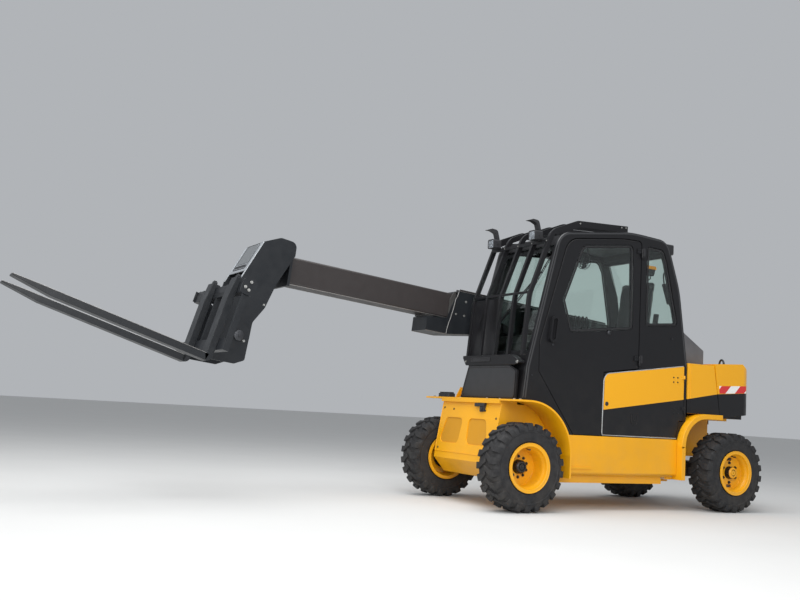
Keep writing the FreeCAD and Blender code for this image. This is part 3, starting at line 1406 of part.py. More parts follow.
# Lamps: two with visors at the front on the upper crossbar, and one on its bracket at the rear
lamps = []
for index, x in enumerate(("lamp_right", "lamp_left")):
    lamps.append(prism("lamp_%d" % index, "XZ_Plane", [
        (x + " - 45", "2168", "16"),
        (x + " + 45", "2168", "16"),
        (x + " + 45", "2250", "16"),
        (x + " - 45", "2250", "16"),
    ], along("225") + " - 75", along("225")))
for index, x in enumerate(("lamp_right", "lamp_left")):
    lamps.append(prism("lamp_visor_%d" % index, "YZ_Plane", seen([
        ("92", "2326"),
        ("138", "2342"),
        ("196", "2336", "30"),
        ("222", "2248"),
        ("200", "2248"),
        ("182", "2306", "20"),
        ("138", "2324"),
    ]), x + " - 26", x + " + 26"))
lamps.append(prism("lamp_back", "XZ_Plane", [
    ("410", "2226", "14"),
    ("500", "2226", "14"),
    ("500", "2318", "14"),
    ("410", "2318", "14"),
], along("1552"), along("1552") + " + 88"))
hand_in(fuse("lamp_set", lamps), "lamps")

# Seat, steering wheel and console
def steer_point(across, up):
    """Place along Y of a point of the steering wheel's own frame."""
    return "steer_y + (%s) * cos(steer_lean) + (%s) * sin(steer_lean)" % (across, up)


def steer_rise(across, up):
    """Height of such a point."""
    return "steer_z - (%s) * sin(steer_lean) + (%s) * cos(steer_lean)" % (across, up)


seat_parts = [
    prism("seat_cushion", "YZ_Plane", [
        ("seat_y", "seat_base_top", "40"),
        ("seat_y + 480", "seat_base_top"),
        ("seat_y + 480", "seat_base_top + 95"),
        ("seat_y + 370", "seat_base_top + 95"),
        ("seat_y + 20", "seat_base_top + 120", "50"),
    ], "seat_x - 240", "seat_x + 240"),
    prism("seat_back", "YZ_Plane", [
        ("seat_y + 380", "seat_base_top + 95"),
        ("seat_y + 474", "seat_base_top + 95"),
        ("seat_y + 544", "seat_base_top + 680", "36"),
        ("seat_y + 460", "seat_base_top + 680", "36"),
    ], "seat_x - 220", "seat_x + 220"),
]
hand_in(group("seat_group", seat_parts), "seat_cushions")
hand_in(prism("seat_box", "YZ_Plane", [
    ("seat_y + 60", "seat_deck + plate"),
    ("seat_y + 410", "seat_deck + plate"),
    ("seat_y + 430", "seat_base_top"),
    ("seat_y + 40", "seat_base_top"),
], "seat_x - 200", "seat_x + 200"), "seat_base")

console = prism("console_body", "YZ_Plane", seen([
    ("110", "floor_z + plate"),
    ("330", "floor_z + plate"),
    ("300", "1100"),
    ("420", "1360", "40"),
    ("330", "1420", "40"),
    ("190", "1330", "30"),
]), "cab_right + cab_wall + 40", "cab_left - cab_wall - 90")
post = prism("steering_post", "YZ_Plane", [
    ("steer_y - 100", "floor_z + plate"),
    ("steer_y - 40", "floor_z + plate"),
    (steer_point("40", "-column_length"), steer_rise("40", "-column_length")),
    (steer_point("-40", "-column_length"), steer_rise("-40", "-column_length")),
], "seat_x - 45", "seat_x + 45")
hand_in(group("console_group", [console, post]), "console")

ring = doc.addObject("Part::Torus", "wheel_ring")
ring.setExpression("Radius1", bound("steer_radius"))
ring.setExpression("Radius2", bound("steer_grip"))
column = [
    ring,
    rod("wheel_hub", "z", "42", "-40", "10"),
    box("wheel_spoke_wide", "-steer_radius", "steer_radius", "-14", "14", "-16", "-4"),
    box("wheel_spoke_down", "-14", "14", "0", "steer_radius", "-16", "-4"),
    rod("wheel_column", "z", "26", "-column_length", "-30"),
]
hand_in(fuse("wheel_whole", column), "steering_wheel", "seat_x", "steer_y", "steer_z", "steer_lean")

doc.recompute()
os.makedirs("parts", exist_ok=True)
for item in doc.Objects:
    if "Invalid" in item.State or "Error" in item.State:
        raise ValueError("%s failed: %s" % (item.Name, item.State))
for item in NODES:
    if item.Shape.isNull() or not item.Shape.isValid():
        raise ValueError("%s has no valid shape" % item.Label)
for item in NODES:
    item.Shape.exportStep("parts/%s.step" % item.Label)
print(len(NODES), "sub-parts")
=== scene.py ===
# %% [markdown]
# # Compact telescopic handler
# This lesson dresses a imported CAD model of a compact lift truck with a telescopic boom. The
# model is a fixed frame: its solids are in place and stay so. The script gives them their
# finish and adds what a source solid is too plain for: tread, bolts, welds, trim, the inside
# of the cab. All lengths are in metres, +X is the machine's left, +Y its rear and +Z is up.

import json
import math

import bmesh
import bpy
from mathutils import Matrix, Vector

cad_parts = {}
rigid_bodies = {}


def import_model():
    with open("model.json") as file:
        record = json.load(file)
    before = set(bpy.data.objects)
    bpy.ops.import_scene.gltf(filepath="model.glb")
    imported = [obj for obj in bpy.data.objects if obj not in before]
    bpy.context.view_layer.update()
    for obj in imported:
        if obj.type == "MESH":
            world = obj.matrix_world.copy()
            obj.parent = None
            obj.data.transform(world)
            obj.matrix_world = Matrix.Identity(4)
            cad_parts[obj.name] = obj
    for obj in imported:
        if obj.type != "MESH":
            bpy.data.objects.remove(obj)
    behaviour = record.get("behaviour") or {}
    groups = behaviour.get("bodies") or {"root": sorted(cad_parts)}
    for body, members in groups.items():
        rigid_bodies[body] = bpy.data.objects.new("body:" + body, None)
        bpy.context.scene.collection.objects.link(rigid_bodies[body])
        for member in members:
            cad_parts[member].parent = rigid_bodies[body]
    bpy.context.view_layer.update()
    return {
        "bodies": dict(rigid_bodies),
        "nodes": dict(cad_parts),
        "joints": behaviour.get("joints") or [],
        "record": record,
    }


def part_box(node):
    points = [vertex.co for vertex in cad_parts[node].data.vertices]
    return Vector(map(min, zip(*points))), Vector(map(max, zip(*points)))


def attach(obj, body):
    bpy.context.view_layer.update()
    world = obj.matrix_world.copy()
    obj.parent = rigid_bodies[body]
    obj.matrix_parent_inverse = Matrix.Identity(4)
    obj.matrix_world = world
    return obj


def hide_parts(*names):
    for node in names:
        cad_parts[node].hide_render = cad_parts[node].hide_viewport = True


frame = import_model()
scene = bpy.context.scene


def centre_of(node):
    low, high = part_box(node)
    return (Vector(low) + Vector(high)) / 2
# The front axle's place behind the origin, which side outlines are measured from
AXLE_Y = centre_of("tyre_front_left").y
print(len(frame["nodes"]), "nodes, front axle at", round(AXLE_Y, 4))

# %% [markdown]
# The picture is seen as the photo shows the machine, from low down at its left front corner.
# The camera's place, turn and lens were fitted to the outlines of the four wheels. Its turn is
# built up as on a tripod: round the upright, up, and then round its own line of sight.

# %% Camera
CAMERA_PLACE = (6.6395, AXLE_Y - 4.4502, 0.7508)
YAW = 1.0704575
PITCH = 0.1119743
ROLL = 0.0577411
FOCAL_PIXELS = 948.22
PHOTO_WIDTH = 800
SENSOR_WIDTH = 36

turn = Matrix.Rotation(YAW, 4, "Z") @ Matrix.Rotation(math.pi / 2 + PITCH, 4, "X") @ Matrix.Rotation(ROLL, 4, "Z")
data = bpy.data.cameras.new("photo_camera")
data.sensor_width = SENSOR_WIDTH
data.lens = FOCAL_PIXELS / PHOTO_WIDTH * SENSOR_WIDTH
data.clip_end = 500
camera = bpy.data.objects.new("photo_camera", data)
camera.matrix_world = Matrix.Translation(CAMERA_PLACE) @ turn
scene.collection.objects.link(camera)
scene.camera = camera
print("lens", round(data.lens, 2), "mm")

# %% [markdown]
# Every finish here is procedural: its nodes work out colour and roughness from Object
# coordinates, which are the place in the frame. So no picture file is needed, nothing slides
# when a part moves, and dust can gather low down on the whole machine at once. These helpers
# add one node each.

# %% Adding shader nodes
def add_node(tree, kind, inputs=None, **settings):
    """A shader node. Inputs are numbers, colours or the sockets to link."""
    made = tree.nodes.new(kind)
    for word, value in settings.items():
        setattr(made, word, value)
    for word, value in (inputs or {}).items():
        if isinstance(value, bpy.types.NodeSocket):
            tree.links.new(value, made.inputs[word])
        else:
            made.inputs[word].default_value = value
    return made


def new_material(name, **shader_values):
    made = bpy.data.materials.new(name)
    made.use_nodes = True
    shader = made.node_tree.nodes["Principled BSDF"]
    for word, value in shader_values.items():
        shader.inputs[word.replace("_", " ")].default_value = value
    return made, made.node_tree, shader


def place_of(tree):
    return add_node(tree, "ShaderNodeTexCoord").outputs["Object"]


def noise(tree, scale, detail=3.0, rough=0.5):
    values = {"Vector": place_of(tree), "Scale": scale, "Detail": detail, "Roughness": rough}
    return add_node(tree, "ShaderNodeTexNoise", values).outputs["Fac"]


def remap(tree, value, low, high, to_low=0.0, to_high=1.0):
    values = {"Value": value, "From Min": low, "From Max": high, "To Min": to_low, "To Max": to_high}
    return add_node(tree, "ShaderNodeMapRange", values).outputs["Result"]


def maths(tree, operation, first, second):
    return add_node(tree, "ShaderNodeMath", {0: first, 1: second}, operation=operation).outputs[0]


def mix(tree, share, first, second):
    values = {0: share, 6: first, 7: second}
    return add_node(tree, "ShaderNodeMix", values, data_type="RGBA").outputs[2]


def rgba(colour):
    return (*colour, 1.0)


def bump(tree, shader, height, distance, strength=1.0):
    values = {"Height": height, "Distance": distance, "Strength": strength}
    tree.links.new(add_node(tree, "ShaderNodeBump", values).outputs["Normal"], shader.inputs["Normal"])

# %% [markdown]
# Outdoors a machine is dusty near the ground. Noise makes the dust patchy, and a Map Range over
# the height lets it thin out upwards.

# %% Dust
def height_of(tree):
    return add_node(tree, "ShaderNodeSeparateXYZ", {"Vector": place_of(tree)}).outputs["Z"]


DUST = (0.26, 0.22, 0.17)


def dusted(tree, colour, amount, top):
    """Colour with dust that thins out towards the height top."""
    low = remap(tree, height_of(tree), 0.1, top, 1.0, 0.0)
    patches = remap(tree, noise(tree, 9, 8, 0.65), 0.4, 0.75)
    share = maths(tree, "MULTIPLY", maths(tree, "MULTIPLY", low, patches), amount)
    return mix(tree, share, colour, rgba(DUST))

# %% [markdown]
# The yellow and black are sprayed enamel: even in colour, a little patchy in gloss, with a
# faint orange peel. A clear coat and low bump over a slightly mottled colour give that.

# %% Sprayed paint
def paint(name, colour, rough=0.32, dust=0.14, top=0.9, coat=0.12, gloss=0.5):
    made, tree, shader = new_material(name, Coat_Weight=coat, Coat_Roughness=0.12, Specular_IOR_Level=gloss)
    shade = tuple(c * 0.92 for c in colour)
    tone = mix(tree, remap(tree, noise(tree, 2.2, 4), 0.35, 0.7), rgba(colour), rgba(shade))
    tree.links.new(dusted(tree, tone, dust, top), shader.inputs["Base Color"])
    tree.links.new(remap(tree, noise(tree, 14, 5), 0.3, 0.75, rough, rough + 0.16), shader.inputs["Roughness"])
    bump(tree, shader, noise(tree, 260, 2), 0.0004, 0.25)
    return made

# %% [markdown]
# The side hatch, the hood and the counterweight are yellow above and black below, parted by a
# rising line. The line is a plane in the frame, so the colours meet across all three panels.
# What looks down stays yellow, as the photo shows under the hood.

# %% Paint in two colours
def two_tone(name, upper, lower, along, height, slope):
    """Paint that changes colour under a line in the side view, through (along, height).
    What looks down keeps the upper colour."""
    made, tree, shader = new_material(name, Coat_Weight=0.12, Coat_Roughness=0.12)
    parts = add_node(tree, "ShaderNodeSeparateXYZ", {"Vector": place_of(tree)})
    run = maths(tree, "MULTIPLY", maths(tree, "SUBTRACT", parts.outputs["Y"], AXLE_Y + along), slope)
    over = maths(tree, "SUBTRACT", maths(tree, "SUBTRACT", parts.outputs["Z"], height), run)
    facing = add_node(tree, "ShaderNodeNewGeometry").outputs["True Normal"]
    down = add_node(tree, "ShaderNodeSeparateXYZ", {"Vector": facing}).outputs["Z"]
    share = maths(tree, "MAXIMUM", remap(tree, over, -0.0008, 0.0008), remap(tree, down, -0.8, -0.85))
    colour = mix(tree, share, rgba(lower), rgba(upper))
    tree.links.new(dusted(tree, colour, 0.12, 0.9), shader.inputs["Base Color"])
    tree.links.new(remap(tree, share, 0, 1, 0.3, 0.5), shader.inputs["Specular IOR Level"])
    tree.links.new(remap(tree, noise(tree, 14, 5), 0.3, 0.75, 0.3, 0.46), shader.inputs["Roughness"])
    bump(tree, shader, noise(tree, 260, 2), 0.0004, 0.25)
    return made

# %% [markdown]
# The inner boom slides on pads at its lower corners, which rub its paint bright, and a painted
# highlight on the rounded corners adds to that pale strip. The strip is found by turning the height with the boom's
# slope.

# %% Worn paint and painted highlight on the boom
def rubbed_with_highlight(name, colour, pivot, degrees, edge):
    """Paint worn bright, with a painted highlight, along the lower corners of a boom raised by degrees
    at its pivot (along, height), whose underside lies at edge over the pivot."""
    made = paint(name, colour, rough=0.4, dust=0.0, coat=0.06, gloss=0.4)
    tree = made.node_tree
    shader = tree.nodes["Principled BSDF"]
    parts = add_node(tree, "ShaderNodeSeparateXYZ", {"Vector": place_of(tree)})
    turn = math.radians(degrees)
    back = maths(tree, "MULTIPLY", maths(tree, "SUBTRACT", parts.outputs["Y"], AXLE_Y + pivot[0]), math.sin(turn))
    up = maths(tree, "MULTIPLY", maths(tree, "SUBTRACT", parts.outputs["Z"], pivot[1]), math.cos(turn))
    rise = maths(tree, "ADD", back, up)
    # The pale strip is paint worn by the pads, and a painted highlight on the rounded corner.
    strip = maths(tree, "MULTIPLY", remap(tree, rise, edge + 0.0002, edge + 0.0006),
                  remap(tree, rise, edge + 0.0055, edge + 0.0035))
    patches = remap(tree, noise(tree, 30, 6, 0.7), 0.3, 0.5, 0.45, 1.0)
    painted = shader.inputs["Base Color"].links[0].from_socket
    tone = mix(tree, maths(tree, "MULTIPLY", strip, patches), painted, rgba((0.4, 0.38, 0.37)))
    tree.links.new(tone, shader.inputs["Base Color"])
    return made

# %% [markdown]
# Tyre rubber is nearly black and scatters light broadly. Paler worn patches are mixed in at random.

# %% Rubber
def rubber(name, colour=(0.012, 0.012, 0.014)):
    made, tree, shader = new_material(name, Specular_IOR_Level=0.4)
    worn = mix(tree, remap(tree, noise(tree, 22, 6, 0.7), 0.35, 0.8), rgba(colour), rgba((0.032, 0.032, 0.033)))
    tree.links.new(dusted(tree, worn, 0.12, 0.7), shader.inputs["Base Color"])
    tree.links.new(remap(tree, noise(tree, 30, 4), 0.3, 0.7, 0.55, 0.85), shader.inputs["Roughness"])
    bump(tree, shader, noise(tree, 180, 6, 0.7), 0.0012, 0.5)
    return made

# %% [markdown]
# Moulded plastic has a fine grain, so its bump has a high scale and its shine is broken up.

# %% Plastic
def plastic(name, colour, rough=0.5, grain=420):
    made, tree, shader = new_material(name, Specular_IOR_Level=0.4)
    tone = mix(tree, remap(tree, noise(tree, 5, 4), 0.3, 0.7), rgba(colour), rgba(tuple(c * 1.5 for c in colour)))
    tree.links.new(dusted(tree, tone, 0.1, 1.2), shader.inputs["Base Color"])
    tree.links.new(remap(tree, noise(tree, 40, 4), 0.3, 0.7, rough - 0.1, rough + 0.1), shader.inputs["Roughness"])
    bump(tree, shader, noise(tree, grain, 3), 0.0006, 0.4)
    return made

# %% [markdown]
# Bright steel, rods and bolts. Noise stretched along one axis reads as the marks of turning or
# rolling.

# %% Metal
def metal(name, colour, rough=0.3, streak=(1, 1, 1)):
    made, tree, shader = new_material(name, Metallic=1.0)
    stretched = add_node(tree, "ShaderNodeMapping", {"Vector": place_of(tree), "Scale": streak})
    values = {"Vector": stretched.outputs["Vector"], "Scale": 60.0, "Detail": 4.0}
    lines = add_node(tree, "ShaderNodeTexNoise", values).outputs["Fac"]
    tone = mix(tree, remap(tree, lines, 0.3, 0.7), rgba(colour), rgba(tuple(c * 0.7 for c in colour)))
    tree.links.new(tone, shader.inputs["Base Color"])
    tree.links.new(remap(tree, lines, 0.3, 0.7, rough, rough + 0.2), shader.inputs["Roughness"])
    return made

# %% [markdown]
# The panes are thin solids of glass. Full transmission lets the cab show through, and a faint
# film of dirt in the roughness keeps them from vanishing.

# %% Glass
def pane(name, tint):
    made, tree, shader = new_material(name, Transmission_Weight=1.0, IOR=1.45, Roughness=0.0)
    film = remap(tree, noise(tree, 3, 3), 0.4, 0.8, 0.0, 0.04)
    tree.links.new(film, shader.inputs["Roughness"])
    shader.inputs["Base Color"].default_value = rgba(tint)
    return made

# %% [markdown]
# The seat is covered in woven cloth. Two crossed wave textures make the weave.

# %% Cloth
def cloth(name, colour):
    made, tree, shader = new_material(name, Sheen_Weight=0.3, Roughness=0.9)
    weave = []
    for turned in (0.0, math.pi / 2):
        laid = add_node(tree, "ShaderNodeMapping", {"Vector": place_of(tree), "Rotation": (0, 0, turned)})
        values = {"Vector": laid.outputs["Vector"], "Scale": 160.0, "Distortion": 1.0}
        weave.append(add_node(tree, "ShaderNodeTexWave", values).outputs["Fac"])
    threads = maths(tree, "MAXIMUM", *weave)
    tone = mix(tree, threads, rgba(tuple(c * 0.6 for c in colour)), rgba(colour))
    tree.links.new(tone, shader.inputs["Base Color"])
    bump(tree, shader, threads, 0.001, 0.6)
    return made

# %% [markdown]
# The reflective strip at each rear corner has slanting red and white blocks, made by folding
# the place along the strip with a ping-pong node. Small cells give the beads in the foil.

# %% Reflective strip
def striped(name, first, second, width, middle):
    """Slanted stripes of that width, with the second colour at the middle (along, height)."""
    made, tree, shader = new_material(name, Roughness=0.25, Coat_Weight=0.5)
    parts = add_node(tree, "ShaderNodeSeparateXYZ", {"Vector": place_of(tree)})
    across = maths(tree, "SUBTRACT", parts.outputs["Y"], parts.outputs["Z"])
    shifted = maths(tree, "SUBTRACT", across, AXLE_Y + middle[0] - middle[1] - width)
    wave = maths(tree, "PINGPONG", shifted, width)
    share = remap(tree, wave, width * 0.49, width * 0.51)
    cells = {"Vector": place_of(tree), "Scale": 420.0}
    beads = add_node(tree, "ShaderNodeTexVoronoi", cells).outputs["Distance"]
    tree.links.new(mix(tree, share, rgba(first), rgba(second)), shader.inputs["Base Color"])
    bump(tree, shader, beads, 0.0004, 0.4)
    return made

# %% [markdown]
# Now the finishes get their colours. They were matched to the photo under this light: the black
# paint is nearly black, the boom a warm dark grey, and the deep yellow leans towards orange.

# %% Colours
YELLOW_COLOUR = (0.86, 0.40, 0.003)
BLACK_COLOUR = (0.0095, 0.0095, 0.011)

YELLOW = paint("yellow_paint", YELLOW_COLOUR)
BLACK = paint("black_paint", BLACK_COLOUR, rough=0.32, dust=0.05, top=1.3, coat=0.04, gloss=0.3)
BOOM = paint("boom_paint", (0.03, 0.025, 0.0245), rough=0.4, dust=0.0, top=2.6, coat=0.06, gloss=0.4)
INNER_BOOM = rubbed_with_highlight("inner_boom_paint", (0.03, 0.025, 0.0245), (2.08, 1.457), 4.92, -0.111)
STEEL = paint("steel_paint", (0.0095, 0.0115, 0.0145), rough=0.36, dust=0.02, top=2.2, coat=0.06, gloss=0.35)
SILVER = metal("worn_silver", (0.66, 0.69, 0.72), 0.42, (1, 1, 8))
HATCH = two_tone("hatch_paint", YELLOW_COLOUR, BLACK_COLOUR, 0.842, 0.825, 0.1454)
HOOD = two_tone("hood_paint", YELLOW_COLOUR, BLACK_COLOUR, 1.736, 0.955, 0.169)
WEIGHT = two_tone("weight_paint", YELLOW_COLOUR, BLACK_COLOUR, 2.149, 1.025, 0.072)
RUBBER = rubber("tyre_rubber")
PLASTIC = plastic("black_plastic", (0.02, 0.02, 0.022))
GREY_PLASTIC = plastic("grey_plastic", (0.09, 0.09, 0.095))
GLASS = pane("cab_glass", (0.83, 0.93, 0.89))
LENS = pane("lamp_lens", (0.95, 0.96, 0.97))
AMBER = plastic("amber_lens", (0.85, 0.3, 0.012), 0.2, 900)
CHROME = metal("rod_chrome", (0.75, 0.76, 0.78), 0.12, (1, 8, 1))
ZINC = metal("zinc_bolts", (0.5, 0.5, 0.48), 0.32)
FABRIC = cloth("seat_cloth", (0.035, 0.036, 0.04))
REFLECT = striped("reflective_strip", (0.65, 0.02, 0.02), (0.85, 0.85, 0.82), 0.112, (2.336, 1.075))
CAST = paint("cast_iron_grey", (0.05, 0.052, 0.055), rough=0.6, dust=0.3, top=1.3, coat=0.0)
DARK_STEEL = metal("dark_steel", (0.085, 0.088, 0.095), 0.42)
# Pale worn steel. On the boom's welds and corner rods it is also a painted highlight.
WORN_EDGE_AND_HIGHLIGHT = metal("worn_edge_and_highlight", (0.34, 0.33, 0.32), 0.4, (1, 8, 1))
PANEL = paint("bare_panel", (0.022, 0.023, 0.026), rough=0.34, dust=0.05, top=1.6, coat=0.2)
# Yellow darkened for the recessed nose panels: painted shade.
RECESS_SHADE = paint("recess_painted_shade", (0.6, 0.27, 0.004), rough=0.6, dust=0.1, top=0.9, coat=0.0)
GREY_PANEL = paint("grey_panel", (0.13, 0.14, 0.148), rough=0.4, dust=0.0, top=1.6)
BAND = plastic("printed_band", (0.012, 0.013, 0.014), 0.2, 60)
# Black paint made lighter for the pillar tubes: a painted sheen.
PILLAR_SHEEN = paint("pillar_paint_with_painted_sheen", (0.032, 0.033, 0.036), rough=0.4, dust=0.1, top=1.6, coat=0.1)
SEAL = plastic("pale_seal", (0.32, 0.33, 0.33), 0.6)
NYLON = plastic("nylon_pad", (0.035, 0.034, 0.033), 0.5)
RED_LENS = plastic("red_lens", (0.42, 0.012, 0.01), 0.16, 700)
RADIATOR = metal("radiator_core", (0.13, 0.135, 0.14), 0.5, (8, 1, 1))
print(len(bpy.data.materials), "materials")

# %% [markdown]
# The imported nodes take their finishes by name. All that isn't listed is black paint, as the cab
# and guard are.

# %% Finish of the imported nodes
FINISH = {}
for finish, nodes in (
    (YELLOW, "chassis_frame front_mudguards side_sills rear_mudguards"),
    (YELLOW, "rim_front_left rim_front_right rim_rear_left rim_rear_right"),
    (RUBBER, "tyre_front_left tyre_front_right tyre_rear_left tyre_rear_right"),
    (HOOD, "engine_hood"),
    (WEIGHT, "counterweight"),
    (HATCH, "side_hatch"),
    (STEEL, "boom_outer boom_head carriage forks lift_barrel tilt_barrel"),
    (INNER_BOOM, "boom_inner"),
    (BOOM, "boom_tower"),
    (CHROME, "lift_rod tilt_rod"),
    (GLASS, "cab_glass door_glass"),
    (PLASTIC, "console steering_wheel cab_roof lamps"),
    (GREY_PLASTIC, "rear_cowl"),
    (CAST, "engine_block"),
    (FABRIC, "seat_cushions"),
):
    FINISH.update(dict.fromkeys(nodes.split(), finish))
print(len(FINISH), "nodes with a finish of their own")

# %% [markdown]
# Folded sheet and cut plate never have a razor edge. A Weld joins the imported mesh's loose
# triangles and a Bevel rounds its edges, both as modifiers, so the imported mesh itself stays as
# it is. Glass, rods and tyres keep their own edges.

# %% Soft edges
SOFT_EDGE = 0.003
WELD_GAP = 0.00002
BEVEL_FROM = math.radians(35)
PLAIN_EDGES = {"cab_glass", "door_glass", "tyre_front_left", "tyre_front_right", "tyre_rear_left",
               "tyre_rear_right", "lift_rod", "tilt_rod"}


def soften(obj, width):
    """Rounded edges and even shading."""
    weld = obj.modifiers.new("weld", "WELD")
    weld.merge_threshold = WELD_GAP
    bevel = obj.modifiers.new("soft_edges", "BEVEL")
    bevel.width = width
    bevel.segments = 2
    bevel.limit_method = "ANGLE"
    bevel.angle_limit = BEVEL_FROM
    bevel.harden_normals = True


for node, obj in frame["nodes"].items():
    obj.data.materials.clear()
    obj.data.materials.append(FINISH.get(node, BLACK))
    if node not in PLAIN_EDGES:
        soften(obj, SOFT_EDGE)
print(len(frame["nodes"]) - len(PLAIN_EDGES), "nodes with soft edges")

# %% [markdown]
# A maker reads places off a drawing in millimetres. So pieces are modelled in millimetres, from
# the front axle's middle on the ground, or about the pivot of what leans with the boom or the
# carriage, and brought into metres when they are hung. An outline across an axis is given as
# pairs: (back, up) across x, (left, up) across y and (left, back) across z.

# %% The workshop's own frames
HOME = Matrix.Translation((0, AXLE_Y, 0)) @ Matrix.Scale(0.001, 4)
PLANES = {"x": (1, 2, 0), "y": (0, 2, 1), "z": (0, 1, 2)}


def leaning(left, back, up, degrees=0.0):
    """Frame with its origin at that place and its front end raised by degrees."""
    return HOME @ Matrix.Translation((left, back, up)) @ Matrix.Rotation(-math.radians(degrees), 4, "X")


def spot(axis, across, up, along):
    """The point across and up in a view along an axis, and that far along it."""
    place = [0.0, 0.0, 0.0]
    for index, value in zip(PLANES[axis], (across, up, along)):
        place[index] = value
    return Vector(place)


def looking(axis, across=0.0, up=0.0, along=0.0, out=1):
    """Turns what was modelled about +Z at the origin to look along an axis from that place."""
    sides = Matrix((spot(axis, 1, 0, 0), spot(axis, 0, 1, 0), spot(axis, 0, 0, out)))
    return Matrix.Translation(spot(axis, across, up, along)) @ sides.transposed().to_4x4()


BOOM_LEFT = -440
BOOM_FRAME = leaning(BOOM_LEFT, 2080, 1457, 4.92)
CARRIAGE_FRAME = leaning(0, -2073.1, 1214.3, 16.0)
print("boom pivot at", tuple(round(v, 3) for v in BOOM_FRAME.translation))

# %% [markdown]
# Sheet metal has rounded corners. By hand each corner of an outline would be bevelled. Here
# the arcs are worked out first, because each corner of these panels has a radius of its own.

# %% Outlines with round corners
ARC_STEPS = 5


def bent(corners, steps=ARC_STEPS):
    """Outline with round corners, from corners (across, up, radius)."""
    outline = []
    count = len(corners)
    for i, (across, up, radius) in enumerate(corners):
        here = Vector((across, up))
        into = (Vector(corners[i - 1][:2]) - here).normalized()
        out = (Vector(corners[(i + 1) % count][:2]) - here).normalized()
        half = into.angle(out) / 2
        if not radius:
            outline.append((across, up))
            continue
        middle = here + (into + out).normalized() * (radius / math.sin(half))
        first = here + into * (radius / math.tan(half)) - middle
        last = here + out * (radius / math.tan(half)) - middle
        turn = first.angle_signed(last)
        for step in range(steps + 1):
            share = Matrix.Rotation(-turn * step / steps, 2)
            outline.append(tuple(middle + share @ first))
    return outline


def oblong(left, right, low, high, radius=0.0, steps=ARC_STEPS):
    return bent([(left, low, radius), (right, low, radius), (right, high, radius), (left, high, radius)], steps)


def inset(corners, by):
    """The same round-cornered outline, moved inwards. Its corners all point outwards."""
    moved = []
    for i, (across, up, radius) in enumerate(corners):
        here = Vector((across, up))
        into = (Vector(corners[i - 1][:2]) - here).normalized()
        out = (Vector(corners[(i + 1) % len(corners)][:2]) - here).normalized()
        place = here + (into + out).normalized() * (by / math.sin(into.angle(out) / 2))
        moved.append((place.x, place.y, max(radius - by, 3)))
    return moved


print("a square with round corners has", len(oblong(0, 10, 0, 10, 2)), "points")

# %% [markdown]
# A plate is drawn the way it is by hand: a plane is merged to one vertex, the vertex is
# extruded from corner to corner, and the line is closed with a face. This keeps every corner
# exactly where the outline has it.

# %% Tracing an outline
def edit(action="SELECT"):
    """Into edit mode, with all of the mesh selected or none of it."""
    bpy.ops.object.mode_set(mode="EDIT")
    bpy.ops.mesh.select_all(action=action)


def trace(points):
    """A new mesh with one face, whose outline is a vertex extruded from point to point."""
    bpy.ops.object.select_all(action="DESELECT")
    bpy.ops.mesh.primitive_plane_add(size=1)
    bpy.ops.object.mode_set(mode="EDIT")
    bpy.ops.mesh.merge(type="CENTER")
    points = [Vector(point) for point in points]
    bpy.ops.transform.translate(value=points[0])
    for here, there in zip(points, points[1:]):
        bpy.ops.mesh.extrude_region_move(TRANSFORM_OT_translate={"value": there - here})
    bpy.ops.mesh.select_all(action="SELECT")
    bpy.ops.mesh.edge_face_add()


def extrude(step):
    bpy.ops.mesh.extrude_region_move(TRANSFORM_OT_translate={"value": step})
